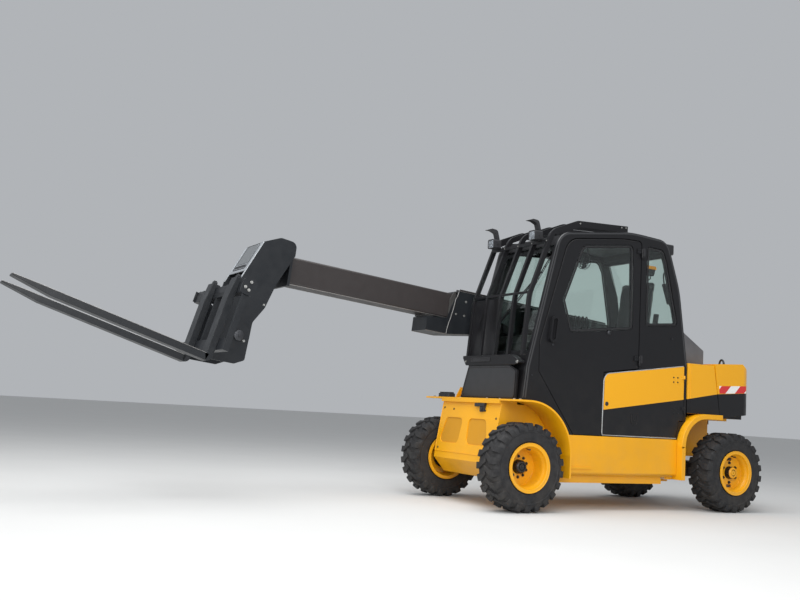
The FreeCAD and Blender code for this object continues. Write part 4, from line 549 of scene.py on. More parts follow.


# %% [markdown]
# A finished piece is many bits: a plate, its bolts, a weld. Each bit starts as a primitive or
# a traced outline, is shaped in edit mode, and keeps its place in its mesh. When a piece is
# hung, its bits are joined and its faces are turned outwards. A soft piece has its edges
# bevelled and the modifiers applied, so it is plain geometry.

# %% Modelling a piece bit by bit
class Piece:
    """Bits that are modelled one by one, then joined and hung on a body of the machine."""

    def __init__(self):
        self.bits = []

    def keep(self, place=None):
        """Back to object mode. The bit's own place goes into its mesh, then it is moved."""
        bpy.ops.object.mode_set(mode="OBJECT")
        bpy.ops.object.transform_apply(location=True, rotation=True, scale=True)
        bit = bpy.context.object
        if place:
            bit.data.transform(place)
        self.bits.append(bit)
        return self

    def block(self, x, y, z):
        """A cube scaled to lie between two corners."""
        bpy.ops.object.select_all(action="DESELECT")
        sizes = [abs(high - low) for low, high in (x, y, z)]
        middle = [(low + high) / 2 for low, high in (x, y, z)]
        bpy.ops.mesh.primitive_cube_add(size=1, location=middle, scale=sizes)
        return self.keep()

    def disc(self, axis, across, up, radius, low, high, sides=28, start=0.0):
        """A cylinder along an axis. Its first corner is start radians from the across direction."""
        bpy.ops.object.select_all(action="DESELECT")
        bpy.ops.mesh.primitive_cylinder_add(vertices=sides, radius=radius, depth=abs(high - low),
                                            location=(0, 0, (low + high) / 2), rotation=(0, 0, start - math.pi / 2))
        return self.keep(looking(axis, across, up))

    def plate(self, axis, outline, low, high):
        """A traced outline, extruded along an axis."""
        trace([(across, up, low) for across, up in outline])
        extrude((0, 0, high - low))
        return self.keep(looking(axis))

    def surround(self, axis, outline, inner, low, high):
        """A flat frame: the space between two traced outlines is bridged and then extruded."""
        trace([(across, up, low) for across, up in outline])
        bpy.ops.mesh.delete(type="ONLY_FACE")
        bpy.ops.object.mode_set(mode="OBJECT")
        outer = bpy.context.object
        trace([(across, up, low) for across, up in inner])
        bpy.ops.mesh.delete(type="ONLY_FACE")
        bpy.ops.object.mode_set(mode="OBJECT")
        outer.select_set(True)
        bpy.ops.object.join()
        edit()
        bpy.ops.mesh.bridge_edge_loops()
        bpy.ops.mesh.select_all(action="SELECT")
        extrude((0, 0, high - low))
        return self.keep(looking(axis))

    def turned(self, axis, across, up, profile, sides=48):
        """A ring, spun from a closed profile of (along, radius)."""
        trace([(radius, 0, along) for along, radius in profile])
        bpy.ops.mesh.delete(type="ONLY_FACE")
        bpy.ops.mesh.select_all(action="SELECT")
        bpy.ops.mesh.spin(steps=sides, angle=2 * math.pi, center=(0, 0, 0), axis=(0, 0, 1))
        bpy.ops.mesh.select_all(action="SELECT")
        bpy.ops.mesh.remove_doubles(threshold=0.01)
        return self.keep(looking(axis, across, up))

    def loft(self, rings):
        """The first section is traced, then extruded to each next one, corner for corner."""
        trace(rings[0])
        for here, there in zip(rings, rings[1:]):
            bpy.ops.mesh.extrude_region_move()
            for vert in bmesh.from_edit_mesh(bpy.context.object.data).verts:
                if vert.select:
                    gaps = [(vert.co - Vector(corner)).length for corner in here]
                    vert.co = there[gaps.index(min(gaps))]
        return self.keep()

    def rod(self, path, radius, sides=10):
        """A curve along the path, with a round bevel and closed ends, converted to a mesh."""
        bpy.ops.object.select_all(action="DESELECT")
        bpy.ops.curve.primitive_nurbs_path_add()
        curve = bpy.context.object.data
        curve.splines.clear()
        line = curve.splines.new("POLY")
        line.points.add(len(path) - 1)
        for point, place in zip(line.points, path):
            point.co = (*place, 1)
        curve.bevel_depth = radius
        curve.bevel_resolution = (sides - 4) // 2
        curve.use_fill_caps = True
        bpy.ops.object.convert(target="MESH")
        edit()
        bpy.ops.mesh.remove_doubles(threshold=0.01)
        return self.keep()

    def bolt(self, axis, across, up, face, size=9.0):
        """A copy of the bolt of that size. A negative size makes it look the other way."""
        bit = bolt_of(abs(size)).copy()
        bit.data = bit.data.copy()
        bit.data.transform(looking(axis, across, up, face, math.copysign(1, size)))
        scene.collection.objects.link(bit)
        self.bits.append(bit)
        return self

    def copies(self, changes):
        """Copies of the last bit, each with its own mesh and moved by its own matrix."""
        first = self.bits[-1]
        for change in changes:
            bit = first.copy()
            bit.data = first.data.copy()
            bit.data.transform(change)
            scene.collection.objects.link(bit)
            self.bits.append(bit)
        return self

    def row(self, count, step):
        """The last bit repeated in a row."""
        return self.copies([Matrix.Translation(Vector(step) * index) for index in range(1, count)])

    def around(self, count, axis="x"):
        """The last bit repeated evenly round an axis through the origin."""
        return self.copies([Matrix.Rotation(2 * math.pi * index / count, 4, axis.upper()) for index in range(1, count)])

    def joined(self):
        """All bits as one object."""
        bpy.ops.object.select_all(action="DESELECT")
        for bit in self.bits:
            bit.select_set(True)
        bpy.context.view_layer.objects.active = self.bits[0]
        if len(self.bits) > 1:
            bpy.ops.object.join()
        self.bits = [bpy.context.object]
        return self.bits[0]

    def twin(self):
        """The same piece once more, with its own mesh."""
        other = Piece()
        other.bits = [self.joined()]
        other.copies([Matrix.Identity(4)])
        other.bits.pop(0)
        return other

    def hang(self, name, body, finish, frame=HOME, soft=0.0, mirrored=False):
        """Finish the piece: its mesh in metres, its material and the body that it rides on."""
        made = self.joined()
        made.name = made.data.name = name
        made.data.transform(frame @ Matrix.Scale(-1 if mirrored else 1, 4, (1, 0, 0)))
        edit()
        bpy.ops.mesh.normals_make_consistent(inside=False)
        bpy.ops.object.mode_set(mode="OBJECT")
        bpy.ops.object.shade_smooth_by_angle(angle=SHARP_ANGLE)
        made.data.materials.clear()
        made.data.materials.append(finish)
        if soft:
            soften(made, soft)
            for modifier in list(made.modifiers):
                bpy.ops.object.modifier_apply(modifier=modifier.name)
        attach(made, body)
        print(name, "rides on", body, "with", len(made.data.polygons), "faces")
        return made


# %% [markdown]
# The angle up to which faces are shaded smooth, and the bolts that all bolts of one size are
# copied from.

# %% Smooth shading and the bolts
SHARP_ANGLE = math.radians(32)
BOLTS = {}


def bolt_of(size):
    """The bolt that all of one size are copied from: a hexagon head on a washer."""
    if size not in BOLTS:
        bolt = Piece().disc("z", 0, 0, size * 1.25, -1, size * 0.22, 20)
        BOLTS[size] = bolt.disc("z", 0, 0, size, 0, size * 0.85, 6, 0.3).joined()
        print("bolt of size", size, "with", len(BOLTS[size].data.polygons), "faces")
    return BOLTS[size]


def ring_of(count, radius, first=0.0):
    """Places (across, up) spread evenly on a circle. The first is that share of a step on."""
    turns = [2 * math.pi * (index + first) / count for index in range(count)]
    return [(radius * math.cos(turn), radius * math.sin(turn)) for turn in turns]


def remove(bit):
    """The object that copies were made from is taken out again."""
    bpy.data.objects.remove(bit)

# %% [markdown]
# Each tyre has a carcass that swells out over the rim's flanges, and it is a turned shape. Half
# of its profile is enough, because the other half mirrors it.

# %% Tyre carcass
TYRE_RADIUS = 343

# Half the carcass: along the axle from the middle, radius
CARCASS = [
    (0, 326), (70, 326), (98, 320), (112, 306), (118, 288), (121, 280), (121, 273), (118, 268),
    (121, 250), (120, 225), (121, 212), (121, 204), (115, 198), (111, 190), (106, 178), (103, 172.6),
]
profile = CARCASS + [(-along, radius) for along, radius in reversed(CARCASS[1:])]
tyre = Piece().turned("x", 0, 0, profile, 132)
print("carcass", len(tyre.bits[0].data.vertices), "points")

# %% [markdown]
# The tread is 22 slanting bars on each side, half a pitch apart, that widen towards the
# shoulder and run down the side wall. One bar of each side is lofted through nine sections and
# the rest are copies turned round the axle. The finished tyre is copied to the four wheels and
# stands for their plain solids.

# %% Tread bars
LUGS = 22
# Lug bar: along the axle, lead round the tyre, half width, top radius, foot radius
LUG = [
    (-7, 44, 12, 334, 320), (2, 40, 17, 343, 320), (30, 22, 19, 343, 320), (58, 4, 22, 343, 318),
    (66, 0, 25, 343, 316), (98, -2, 26, 343, 304), (110, -2, 26, 337, 298), (120, -2, 25, 320, 288),
    (122.5, -2, 22, 300, 284),
]
def lug_rings(side, turned):
    """Sections of one bar on a side of the tyre, at an angle round the axle."""
    rings = []
    for along, lead, half, top, foot in LUG:
        ring = []
        for edge, radius in ((-half - 4, foot), (-half, top), (half, top), (half + 4, foot)):
            turn = turned + (lead + edge) / TYRE_RADIUS
            ring.append((side * along, radius * math.sin(turn), radius * math.cos(turn)))
        rings.append(ring)
    return rings
for side, first in ((1, 0.0), (-1, 0.5)):
    tyre.loft(lug_rings(side, 2 * math.pi * first / LUGS)).around(LUGS)
# Wheels: name, centre, disc face outboard of the middle, bolts, their circle and size
WHEELS = [
    ("front_left", (596, 0, 343), -30, 10, 80, 10),
    ("front_right", (-596, 0, 343), -30, 10, 80, 10),
    ("rear_left", (617, 2210, 343), 45, 6, 85, 11),
    ("rear_right", (-617, 2210, 343), 45, 6, 85, 11),
]
for word, centre, *_ in WHEELS:
    tread = tyre.twin().hang("tread_" + word, "wheel_" + word, RUBBER, leaning(*centre), 0.0025, centre[0] < 0)
    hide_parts("tyre_" + word)
remove(tyre.joined())

# %% [markdown]
# Ten nuts hold each front disc and six each rear one. A nut sits on a washer with the stud's
# end showing, and one is modelled and turned round the hub.

# %% Wheel nuts
for word, centre, face, bolts, circle_radius, size in WHEELS:
    nuts = Piece()
    for across, up in ring_of(bolts, circle_radius, 0.5):
        nuts.bolt("x", across, up, face, size)
        nuts.disc("x", across, up, size * 0.55, face, face + size * 1.5, 12)
    nuts.hang("nuts_" + word, "wheel_" + word, DARK_STEEL, leaning(*centre), mirrored=centre[0] < 0)

# %% [markdown]
# The rim's rolled lips show outside the tyre's bead. They are turned once and copied to each
# wheel, and so is the air valve, which leans out through the disc.

# %% Bead rings and valves
bead = Piece()
for out in (1, -1):
    lip = [(112, 176), (126, 188), (126.4, 191.6), (118, 191.6), (110, 180)]
    bead.turned("x", 0, 0, [(out * along, radius) for along, radius in lip], 96)
valve = Piece()
valve.rod([(60, 0, 146), (84, 0, 140), (104, 0, 138)], 4, 10)
valve.disc("x", 0, 138, 5.5, 98, 116, 12)
for word, centre, *_ in WHEELS:
    place = {"frame": leaning(*centre), "mirrored": centre[0] < 0}
    bead.twin().hang("bead_rings_" + word, "wheel_" + word, YELLOW, soft=0.001, **place)
    valve.twin().hang("valve_" + word, "wheel_" + word, PLASTIC, **place)
remove(bead.joined())
remove(valve.joined())

# %% [markdown]
# A domed cap with six small screws closes each hub. The front hubs end inside the dished disc
# and stay with the axle. The rear ones stand out by the steering knuckle and are painted with
# the rim.

# %% Hub caps
# Name's end, body, start beyond the wheel's middle, finish, for each wheel in turn
HUBS = [("chassis", 14.5, DARK_STEEL), ("chassis", 14.5, DARK_STEEL), ("knuckle_left", 89.5, YELLOW),
        ("knuckle_right", 89.5, YELLOW)]
for (word, centre, *_), (body, start, finish) in zip(WHEELS, HUBS):
    hub = Piece()
    profile = [(start, 30), (start + 8, 30), (start + 8, 38), (start + 3, 46), (start - 2, 49), (start - 2, 30)]
    hub.turned("x", 0, 0, profile, 40)
    hub.turned("x", 0, 0, [(start, 5), (start + 5, 5), (start + 6, 22), (start, 24)], 32)
    for across, up in ring_of(6, 38):
        hub.bolt("x", across, up, start + 7, 4)
    hub.hang("hub_" + word, body, finish, leaning(*centre), 0.0008, centre[0] < 0)

# %% [markdown]
# The nose is one folded plate that leans back. Two recessed panels in it carry a duller, darker
# yellow, which is painted shade in the recesses. They are lofted between two sheets of the slope so that they follow
# it.

# %% Recessed nose panels
NOSE_TOP = (-88, 822)
NOSE_LOW = (-156, 400)


def nose_y(up):
    """The nose face's place along the machine at a height."""
    share = (NOSE_TOP[1] - up) / (NOSE_TOP[1] - NOSE_LOW[1])
    return NOSE_TOP[0] + share * (NOSE_LOW[0] - NOSE_TOP[0])

panels = Piece()
for corners in (((-334, 687), (-85, 687), (-107, 481), (-404, 481)), ((3, 687), (253, 687), (324, 481), (26, 481))):
    outline = bent([(left, up, 42) for left, up in corners])
    panels.loft([[(left, nose_y(up) + proud, up) for left, up in outline] for proud in (6.6, 9.0)])
panels.hang("nose_panels", "chassis", RECESS_SHADE)

# %% [markdown]
# A black latch hangs over the edge between deck and nose.

# %% Nose latch
latch = Piece()
back = nose_y(790) + 4
latch.plate("y", bent([(92, 789, 6), (228, 796, 6), (228, 820, 6), (92, 818, 6)]), back - 30, back)
latch.plate("y", bent([(158, 748, 8), (224, 752, 8), (222, 800, 8), (160, 800, 8)]), back - 24, back + 3)
latch.disc("y", 190, 772, 15, back - 34, back - 20)
latch.disc("y", 230, 758, 7, back - 14, back + 6, 14)
latch.hang("nose_latch", "chassis", PLASTIC, soft=0.002)

# %% [markdown]
# Dark rings sit in the holes that the maker left in the pressing, as painted shade inside the holes.
# A bead of weld runs along the folds. Welds are thin rods laid on the seam.

# %% Painted shade in the holes, and welds
hole_shade_rings = Piece()
# Dark steel rings in the holes: painted shade.
for left, up in ((-249, 759), (-395, 428), (395, 428), (-400, 768), (395, 700)):
    hole_shade_rings.turned("y", left, up, [(nose_y(up) - 2.5, 5), (nose_y(up) - 2.5, 9), (nose_y(up) + 3, 11),
                                (nose_y(up) + 3, 5)], 24)
hole_shade_rings.hang("nose_hole_shade_rings", "chassis", DARK_STEEL)
weld = Piece()
weld.rod([(-434, NOSE_LOW[0] - 1, 401), (434, NOSE_LOW[0] - 1, 401)], 3.5, 8)
for side in (-434, 434):
    weld.rod([(side, nose_y(up), up) for up in (404, 500, 600, 700, 818)], 3, 8)
weld.hang("nose_welds", "chassis", YELLOW)

# %% [markdown]
# The lowered boom comes down on a rubber pad on the deck, and a small gusset braces the deck
# beside it.

# %% Boom rest and gusset
rest = Piece()
rest.plate("z", oblong(-505, -336, -108, -36, 12), 859, 892)
rest.plate("z", oblong(-497, -344, -100, -44, 10), 891, 903)
rest.hang("boom_rest", "chassis", RUBBER, soft=0.003)
gusset = Piece()
gusset.plate("x", [(20, 859), (96, 859), (96, 952), (74, 952)], -434, -424)
gusset.plate("x", [(20, 859), (74, 952), (74, 859)], -350, -340)
gusset.block((-434, -340), (74, 84), (859, 952))
gusset.hang("deck_gusset", "chassis", YELLOW, soft=0.002)

# %% [markdown]
# Bolts hold the deck to the nose.

# %% Deck bolts
bolts = Piece()
for left in (-640, -560, 560, 640):
    bolts.bolt("z", left, -60, 860, 10)
for left in (-380, -200, 200, 380):
    bolts.bolt("z", left, -72, 860, 8)
bolts.hang("deck_bolts", "chassis", ZINC)

# %% [markdown]
# A bare dark panel in a rolled frame lies under the windscreen. The frame is the space between
# two traced outlines, bridged and given its thickness.

# %% Bare panel
front = -4
outline = [(-296, 872, 26), (476, 872, 26), (486, 1086, 26), (396, 1128, 20), (-192, 1128, 20)]
inner = [(-284, 884, 20), (464, 884, 20), (474, 1080, 20), (392, 1116, 16), (-186, 1116, 16)]
edge = Piece()
edge.surround("y", bent(outline), bent(inner), front - 7, front + 2)
edge.hang("name_panel_edge", "chassis", PLASTIC, soft=0.0015)
face = Piece()
face.plate("y", bent(inner), front - 3, front + 2)
face.hang("name_panel_face", "chassis", PANEL)

# %% [markdown]
# The shelf in front of the windscreen has a shallow slot and a bolt at each end.

# %% Shelf
shelf = Piece()
for left in (-236, 512):
    shelf.bolt("y", left, 1168 if left < 0 else 1160, -12, -8 if left < 0 else -11)
shelf.hang("shelf_bolts", "chassis", ZINC)
slot = Piece()
slot.surround("y", oblong(-150, 130, 1166, 1200, 8), oblong(-142, 122, 1172, 1194, 5), -18, -11)
slot.plate("y", oblong(-143, 123, 1171, 1195, 5), -13, -11.5)
slot.hang("shelf_slot", "chassis", PLASTIC, soft=0.001)

# %% [markdown]
# Each sill carries a tie-down lug near the rear wheel, which is a plate with a bored boss, and
# bolts that hold it to the frame.

# %% Sill lugs and bolts
fittings = Piece()
for side in (1, -1):
    fittings.plate("x", bent([(1592, 262, 10), (1600, 330, 20), (1650, 330, 20), (1658, 262, 10)]),
                   side * 519, side * 530)
    fittings.turned("x", 1626, 297, [(side * 529, 6), (side * 529, 20), (side * 552, 20), (side * 556, 15),
                                    (side * 556, 6)], 32)
    for back in (470, 640):
        fittings.bolt("z", side * 560, back, 352, 7)
fittings.hang("sill_tie_lugs", "chassis", YELLOW, soft=0.0015)
bolts = Piece()
for side in (1, -1):
    bolts.bolt("x", 1626, 297, side * 556, side * 9)
    for back, up in ((1570, 292), (1545, 292), (480, 292), (505, 292)):
        bolts.bolt("x", back, up - 20, side * 520, side * 7)
bolts.hang("sill_bolts", "chassis", ZINC)

# %% [markdown]
# The engine hatch closes on a pale rubber seal that shows as a line round three sides. It stays
# with the body, so it is left behind when the hatch swings.

# %% Hatch seal
face = 579
seal = Piece()
line = [(face - 6, 1650, 616), (face - 6, 1200, 616), (face - 6, 828, 617), (face - 6, 824, 640),
        (face - 6, 829, 1060), (face - 6, 836, 1090), (face - 6, 862, 1119), (face - 6, 890, 1127),
        (face - 6, 1300, 1184), (face - 6, 1722, 1243)]
seal.rod(line, 4.5, 8)
seal.hang("hatch_seal", "chassis", SEAL)

# %% [markdown]
# Two hinges with four screws each, a round lock, and a shallow pressed mark in the black half.

# %% Hatch fittings
bolts = Piece()
for back, up in ((1630, 1119), (1639, 852)):
    for along in (-24, 24):
        for rise in (-20, 20):
            bolts.bolt("x", back + along, up + rise, face, 5.5)
bolts.hang("hatch_bolts", "side_hatch", DARK_STEEL)
lock = Piece()
lock.turned("x", 862, 874, [(face - 1, 6), (face - 1, 17), (face + 4, 17), (face + 6, 14), (face + 6, 6)], 32)
lock.disc("x", 862, 874, 7, face - 1, face + 4, 20)
lock.hang("hatch_lock", "side_hatch", PLASTIC, soft=0.0008)
mark = Piece()
mark.rod([(face, 1130, 800), (face, 1132, 742), (face, 1142, 722), (face, 1166, 714), (face, 1190, 722),
           (face, 1200, 742), (face, 1202, 800)], 5, 10)
mark.rod([(face, 1152, 800), (face, 1154, 752), (face, 1166, 742), (face, 1178, 752), (face, 1180, 800)], 4, 10)
mark.hang("hatch_pressing", "side_hatch", BLACK)

# %% [markdown]
# The hood is folded beside the cowl, has a latch on top, and the cowl behind the cab breathes
# through a stack of slats. One slat is modelled and repeated upwards.

# %% Hood and cowl
seams = Piece()
for back, top in ((1790, 1272), (1812, 1272)):
    seams.rod([(577.5, back, 846), (577.5, back, top)], 2.0, 8)
seams.hang("hood_pressings", "chassis", HOOD)
latch = Piece()
latch.plate("z", oblong(120, 200, 2010, 2040, 12), 1274, 1284)
latch.disc("z", 160, 2025, 10, 1282, 1290)
latch.hang("hood_latch", "chassis", PLASTIC, soft=0.001)
slats = Piece()
slats.plate("z", oblong(-90, 440, 2064, 2073, 3, 3), 1306, 1312).row(6, (0, 0, 15))
slats.hang("cowl_slats", "chassis", PLASTIC)

# %% [markdown]
# The counterweight has a reflective strip at each side, and at its back a lamp in a housing
# with three lenses.

# %% Strips and tail lamps
strips = Piece()
for side in (1, -1):
    start = [(2168, 1031), (2504, 1052), (2504, 1116), (2162, 1098)]
    strips.plate("x", start, side * 576.4, side * 578.2)
strips.hang("reflective_strips", "chassis", REFLECT)
housings = Piece()
lenses = Piece()
for side in (1, -1):
    left, right = sorted((side * 290, side * 450))
    housings.surround("y", oblong(left, right, 1085, 1165, 18), oblong(left + 8, right - 8, 1093, 1157, 12), 2568, 2596)
    housings.plate("y", oblong(left + 7, right - 7, 1092, 1158, 12), 2566, 2574)
    for start, end, finish in ((12, 66, 0), (70, 104, 1), (108, 148, 2)):
        lenses.plate("y", oblong(left + start, left + end, 1096, 1154, 8), 2573, 2592)
housings.hang("tail_lamp_housings", "chassis", PLASTIC, soft=0.0015)
lenses.hang("tail_lamp_lenses", "chassis", RED_LENS, soft=0.002)

# %% [markdown]
# Two eyes of bent bar on welded feet lift the machine. The arc is a rod along a half circle.

# %% Lifting eyes
eyes = Piece()
for side in (1, -1):
    path = []
    for step in range(13):
        turn = math.pi * step / 12
        path.append((side * 400 + 26 * math.cos(turn), 2380, 1306 + 44 * math.sin(turn)))
    eyes.rod(path, 9, 14)
    for shift in (-26, 26):
        eyes.turned("z", side * 400 + shift, 2380, [(1304, 8), (1304, 18), (1312, 14), (1312, 8)], 24)
eyes.hang("lifting_eyes", "chassis", DARK_STEEL)

# %% [markdown]
# Behind the rear grille is the radiator: many thin upright fins crossed by tubes. One fin and
# one tube are modelled and repeated.

# %% Radiator core
core = Piece()
core.block((-224, -221.5), (2508, 2520), (936, 1204)).row(56, (8, 0, 0))
core.block((-226, 226), (2508, 2517), (940, 943)).row(17, (0, 0, 16))
core.hang("radiator_core", "chassis", RADIATOR)

# %% [markdown]
# The boom is modelled lying along the frame's -Y about its pivot, and BOOM_FRAME raises it. The
# outer boom has bolts for its wear pads, and welds along its plates whose pale metal is a painted highlight on its
# edges.

# %% Boom bolts and welds
HEAD_REACH = 3760

bolts = Piece()
for side in (1, -1):
    for back, up in ((-2079, 59), (-2166, -64), (-2082, -66), (-1914, 91)):
        bolts.bolt("x", back, up, side * 120, side * 8)
bolts.hang("boom_bolts", "boom_outer", ZINC, BOOM_FRAME)
welds = Piece()
# The welds' pale metal is a painted highlight along the outer boom's edges.
for side in (1, -1):
    face = side * 120.5
    welds.rod([(face, -2163, 136), (face, -2172, 90), (face, -2186, 64), (face, -2201, -35),
                (face, -2239, -201), (face, -2242, -246)], 3.2, 8)
    welds.rod([(face, -500, -178), (face, -1750, -178), (face, -2220, -252), (face, -2449, -252)], 2.6, 8)
    welds.rod([(face, 128, 141), (face, -2160, 141)], 2.2, 8)
welds.hang("boom_welds_with_highlight", "boom_outer", WORN_EDGE_AND_HIGHLIGHT, BOOM_FRAME)

# %% [markdown]
# Nylon pads at the mouth guide the inner boom, whose lower edges they have worn to bare
# steel. The pale rods on those edges are that wear, and a painted highlight on the rounded corners too.

# %% Wear pads, and worn edges with a painted highlight
lips = Piece()
for side in (1, -1):
    left, right = side * 98, side * 118
    lips.plate("x", bent([(-2238, -92, 4), (-2238, 60, 4), (-2206, 128, 4), (-2190, 128, 4), (-2190, -92, 4)]),
               left, right)
lips.block((-92, 92), (-2452, -2380), (-127, -111.5))
lips.hang("boom_wear_pads", "boom_outer", NYLON, BOOM_FRAME, soft=0.001)
worn = Piece()
# Pale rods on the lower corners: worn steel, and a painted highlight as well.
for side in (1, -1):
    worn.rod([(side * 95.1, -HEAD_REACH + 2, -109.4), (side * 95.1, -2300, -109.4)], 1.8, 8)
worn.hang("boom_worn_edges_and_highlight", "boom_inner", WORN_EDGE_AND_HIGHLIGHT, BOOM_FRAME)

# %% [markdown]
# A cover closes the boom's rear end with four screws, and on top lies the tray with the pipes
# to the tilt cylinder. They are fixed to the outer boom.

# %% End cover, tray and pipes
cover = Piece()
cover.plate("y", oblong(-92, 92, -60, 110, 14), 126, 134)
cover.hang("boom_end_cover", "boom_outer", BOOM, BOOM_FRAME, soft=0.0015)
screws = Piece()
for left in (-78, 78):
    for up in (-46, 96):
        screws.bolt("y", left, up, 134, 6)
screws.hang("boom_end_screws", "boom_outer", ZINC, BOOM_FRAME)
carrier = Piece()
carrier.block((-30, 30), (-2100, -420), (141, 147))
for left in (-30, 26):
    carrier.block((left, left + 4), (-2100, -420), (146, 176))
carrier.hang("hose_carrier_tray", "boom_outer", BOOM, BOOM_FRAME, soft=0.001)
pipes = Piece()
for left in (-17, 0, 17):
    pipes.rod([(left, -2096, 156), (left, -424, 156)], 6, 10)
pipes.hang("boom_pipes", "boom_outer", DARK_STEEL, BOOM_FRAME)

# %% [markdown]
# Round caps with two screws keep the pivot pin in the tower's plates.

# %% Pivot caps
caps = Piece()
for side in (1, -1):
    face = 162 if side > 0 else -165
    caps.turned("x", 0, 0, [(face - side * 4, 4), (face - side * 4, 46), (face + side * 5, 46), (face + side * 9, 38),
                           (face + side * 9, 4)], 40)
    caps.bolt("x", 22, 0, face + side * 9, side * 6)
    caps.bolt("x", -22, 0, face + side * 9, side * 6)
caps.hang("pivot_caps", "chassis", DARK_STEEL, BOOM_FRAME, soft=0.001)

# %% [markdown]
# The head's front face leans, so its trim is modelled flat, up along Z and out along -Y, and
# turned onto the face by a frame of its own.

# %% Frame of the head's face
def tilted(top, slope, out):
    """Frame on a leaning face of the boom: up it along Z, out of it along -Y."""
    up = -slope
    return Matrix((
        (1, 0, 0, 0),
        (0, -out.x, up.x, top.x),
        (0, -out.y, up.y, top.y),
        (0, 0, 0, 1),
    ))

top, low = Vector((-HEAD_REACH - 264, 158)), Vector((-HEAD_REACH - 404, -158))
slope = (low - top).normalized()
out = Vector((slope.y, -slope.x))
if out.x > 0:
    out = -out
def head_face(share_down, proud):
    """A point in the side view, that far down the face and out of it."""
    place = top + slope * share_down + out * proud
    return place.x, place.y


HEAD_FRAME = BOOM_FRAME @ tilted(top, slope, out)
print("head face leans", round(math.degrees(math.atan2(slope.x, -slope.y)), 1), "degrees")

# %% [markdown]
# The face has worn silver edges and a silver cover with a grey insert in a black frame and a
# slot under it. In the photo it is the brightest spot of the machine.

# %% Silver cover of the head
edges = Piece()
for side in (1, -1):
    left, right = side * 205.5, side * 186
    edges.plate("x", [head_face(2, -3), head_face(2, 2.5), head_face(340, 2.5), head_face(340, -3)], left, right)
edges.hang("head_edge_strips", "boom_inner", SILVER, BOOM_FRAME, soft=0.001)
cover = Piece()
cover.plate("x", [head_face(4, -6), head_face(4, 1.5), head_face(274, 1.5), head_face(274, -6)], -187, 187)
cover.hang("head_cover_face", "boom_inner", SILVER, BOOM_FRAME, soft=0.0015)
insert = Piece()
insert.plate("y", oblong(-124, 124, -196, -16, 22), -4.5, -1.0)
insert.hang("head_insert", "boom_inner", GREY_PANEL, HEAD_FRAME, soft=0.0015)
trim = Piece()
trim.surround("y", oblong(-146, 146, -250, -6, 30), oblong(-136, 136, -240, -10, 24), -3.0, -1.0)
trim.hang("head_insert_frame", "boom_inner", BLACK, HEAD_FRAME, soft=0.001)
slot = Piece()
slot.plate("y", oblong(-122, 122, -232, -208, 11), -4.2, -1.0)
slot.hang("head_slot", "boom_inner", DARK_STEEL, HEAD_FRAME)

# %% [markdown]
# Caps on the carriage's pins, the bolts that the photo shows on the side plates, and the welds
# that join the inner boom to the head.

# %% Pin caps, bolts and welds of the head
pins = Piece()
for side in (1, -1):
    for across, up, radius, far in ((-HEAD_REACH - 357, -598, 40, 236),):
        start = side * far
        pins.turned("x", across, up, [(start - side * 3, 4), (start - side * 3, radius), (start + side * 6, radius),
                                     (start + side * 9, radius - 7), (start + side * 9, 4)], 36)
        pins.bolt("x", across, up, start + side * 9, side * 8)
pins.hang("head_pin_caps", "boom_inner", DARK_STEEL, BOOM_FRAME, soft=0.001)
bolts = Piece()
for side in (1, -1):
    for back, up, size in ((-333, -239, 11), (-362, -183, 7), (-187, -328, 7)):
        bolts.bolt("x", -HEAD_REACH + back, up, side * 205, side * size)
bolts.hang("head_bolts", "boom_inner", ZINC, BOOM_FRAME)
welds = Piece()
for side in (1, -1):
    for up in (-108, 108):
        welds.rod([(side * 97, -HEAD_REACH + 3, up), (side * 184, -HEAD_REACH + 3, up)], 3.5, 8)
    welds.rod([(side * 97, -HEAD_REACH + 3, -108), (side * 97, -HEAD_REACH + 3, 108)], 3.5, 8)
welds.hang("head_welds", "boom_inner", BOOM, BOOM_FRAME)

# %% [markdown]
# Both cylinders end in a gland nut with six lugs and have two hose ports with plugs. They share
# one recipe, so one loop makes both from the table.

# %% Cylinder glands and ports
# Cylinders: name, barrel length, its radius, rod radius, base pin (back, up), lean, pin radius
LINKS = [
    ("lift", 713.6, 55, 32, (700, 670), 138.17, 28),
    ("tilt", 440, 36, 20, (-1776.2, 1899.4), -49.2, 20),
]
for name, end, radius, rod_radius, place, lean, pin in LINKS:
    along = leaning(BOOM_LEFT, *place, lean)
    gland = Piece()
    gland.turned("y", 0, 0, [(-end - 3, rod_radius + 1), (-end - 3, radius - 8), (-end + 2, radius + 4),
                            (-end + 34, radius + 4), (-end + 34, rod_radius + 1)], 40)
    for index in range(6):
        turn = math.pi * index / 3
        reach = radius + 3
        gland.disc("y", reach * math.cos(turn), reach * math.sin(turn), 4, -end + 4, -end + 32, 10)
    gland.disc("z", 0, -end + 62, 13, radius - 6, radius + 16, 20)
    gland.disc("z", 0, -pin - 46, 13, radius - 6, radius + 16, 20)
    gland.bolt("z", 0, -end + 62, radius + 15, 9)
    gland.bolt("z", 0, -pin - 46, radius + 15, 9)
    gland.hang(name + "_gland", name + "_barrel", DARK_STEEL, along, soft=0.0008)

# %% [markdown]
# The carriage carries the forks on two bars. Its bolts, end stops and the row of teeth in which
# the forks latch are modelled about the tilt pivot.

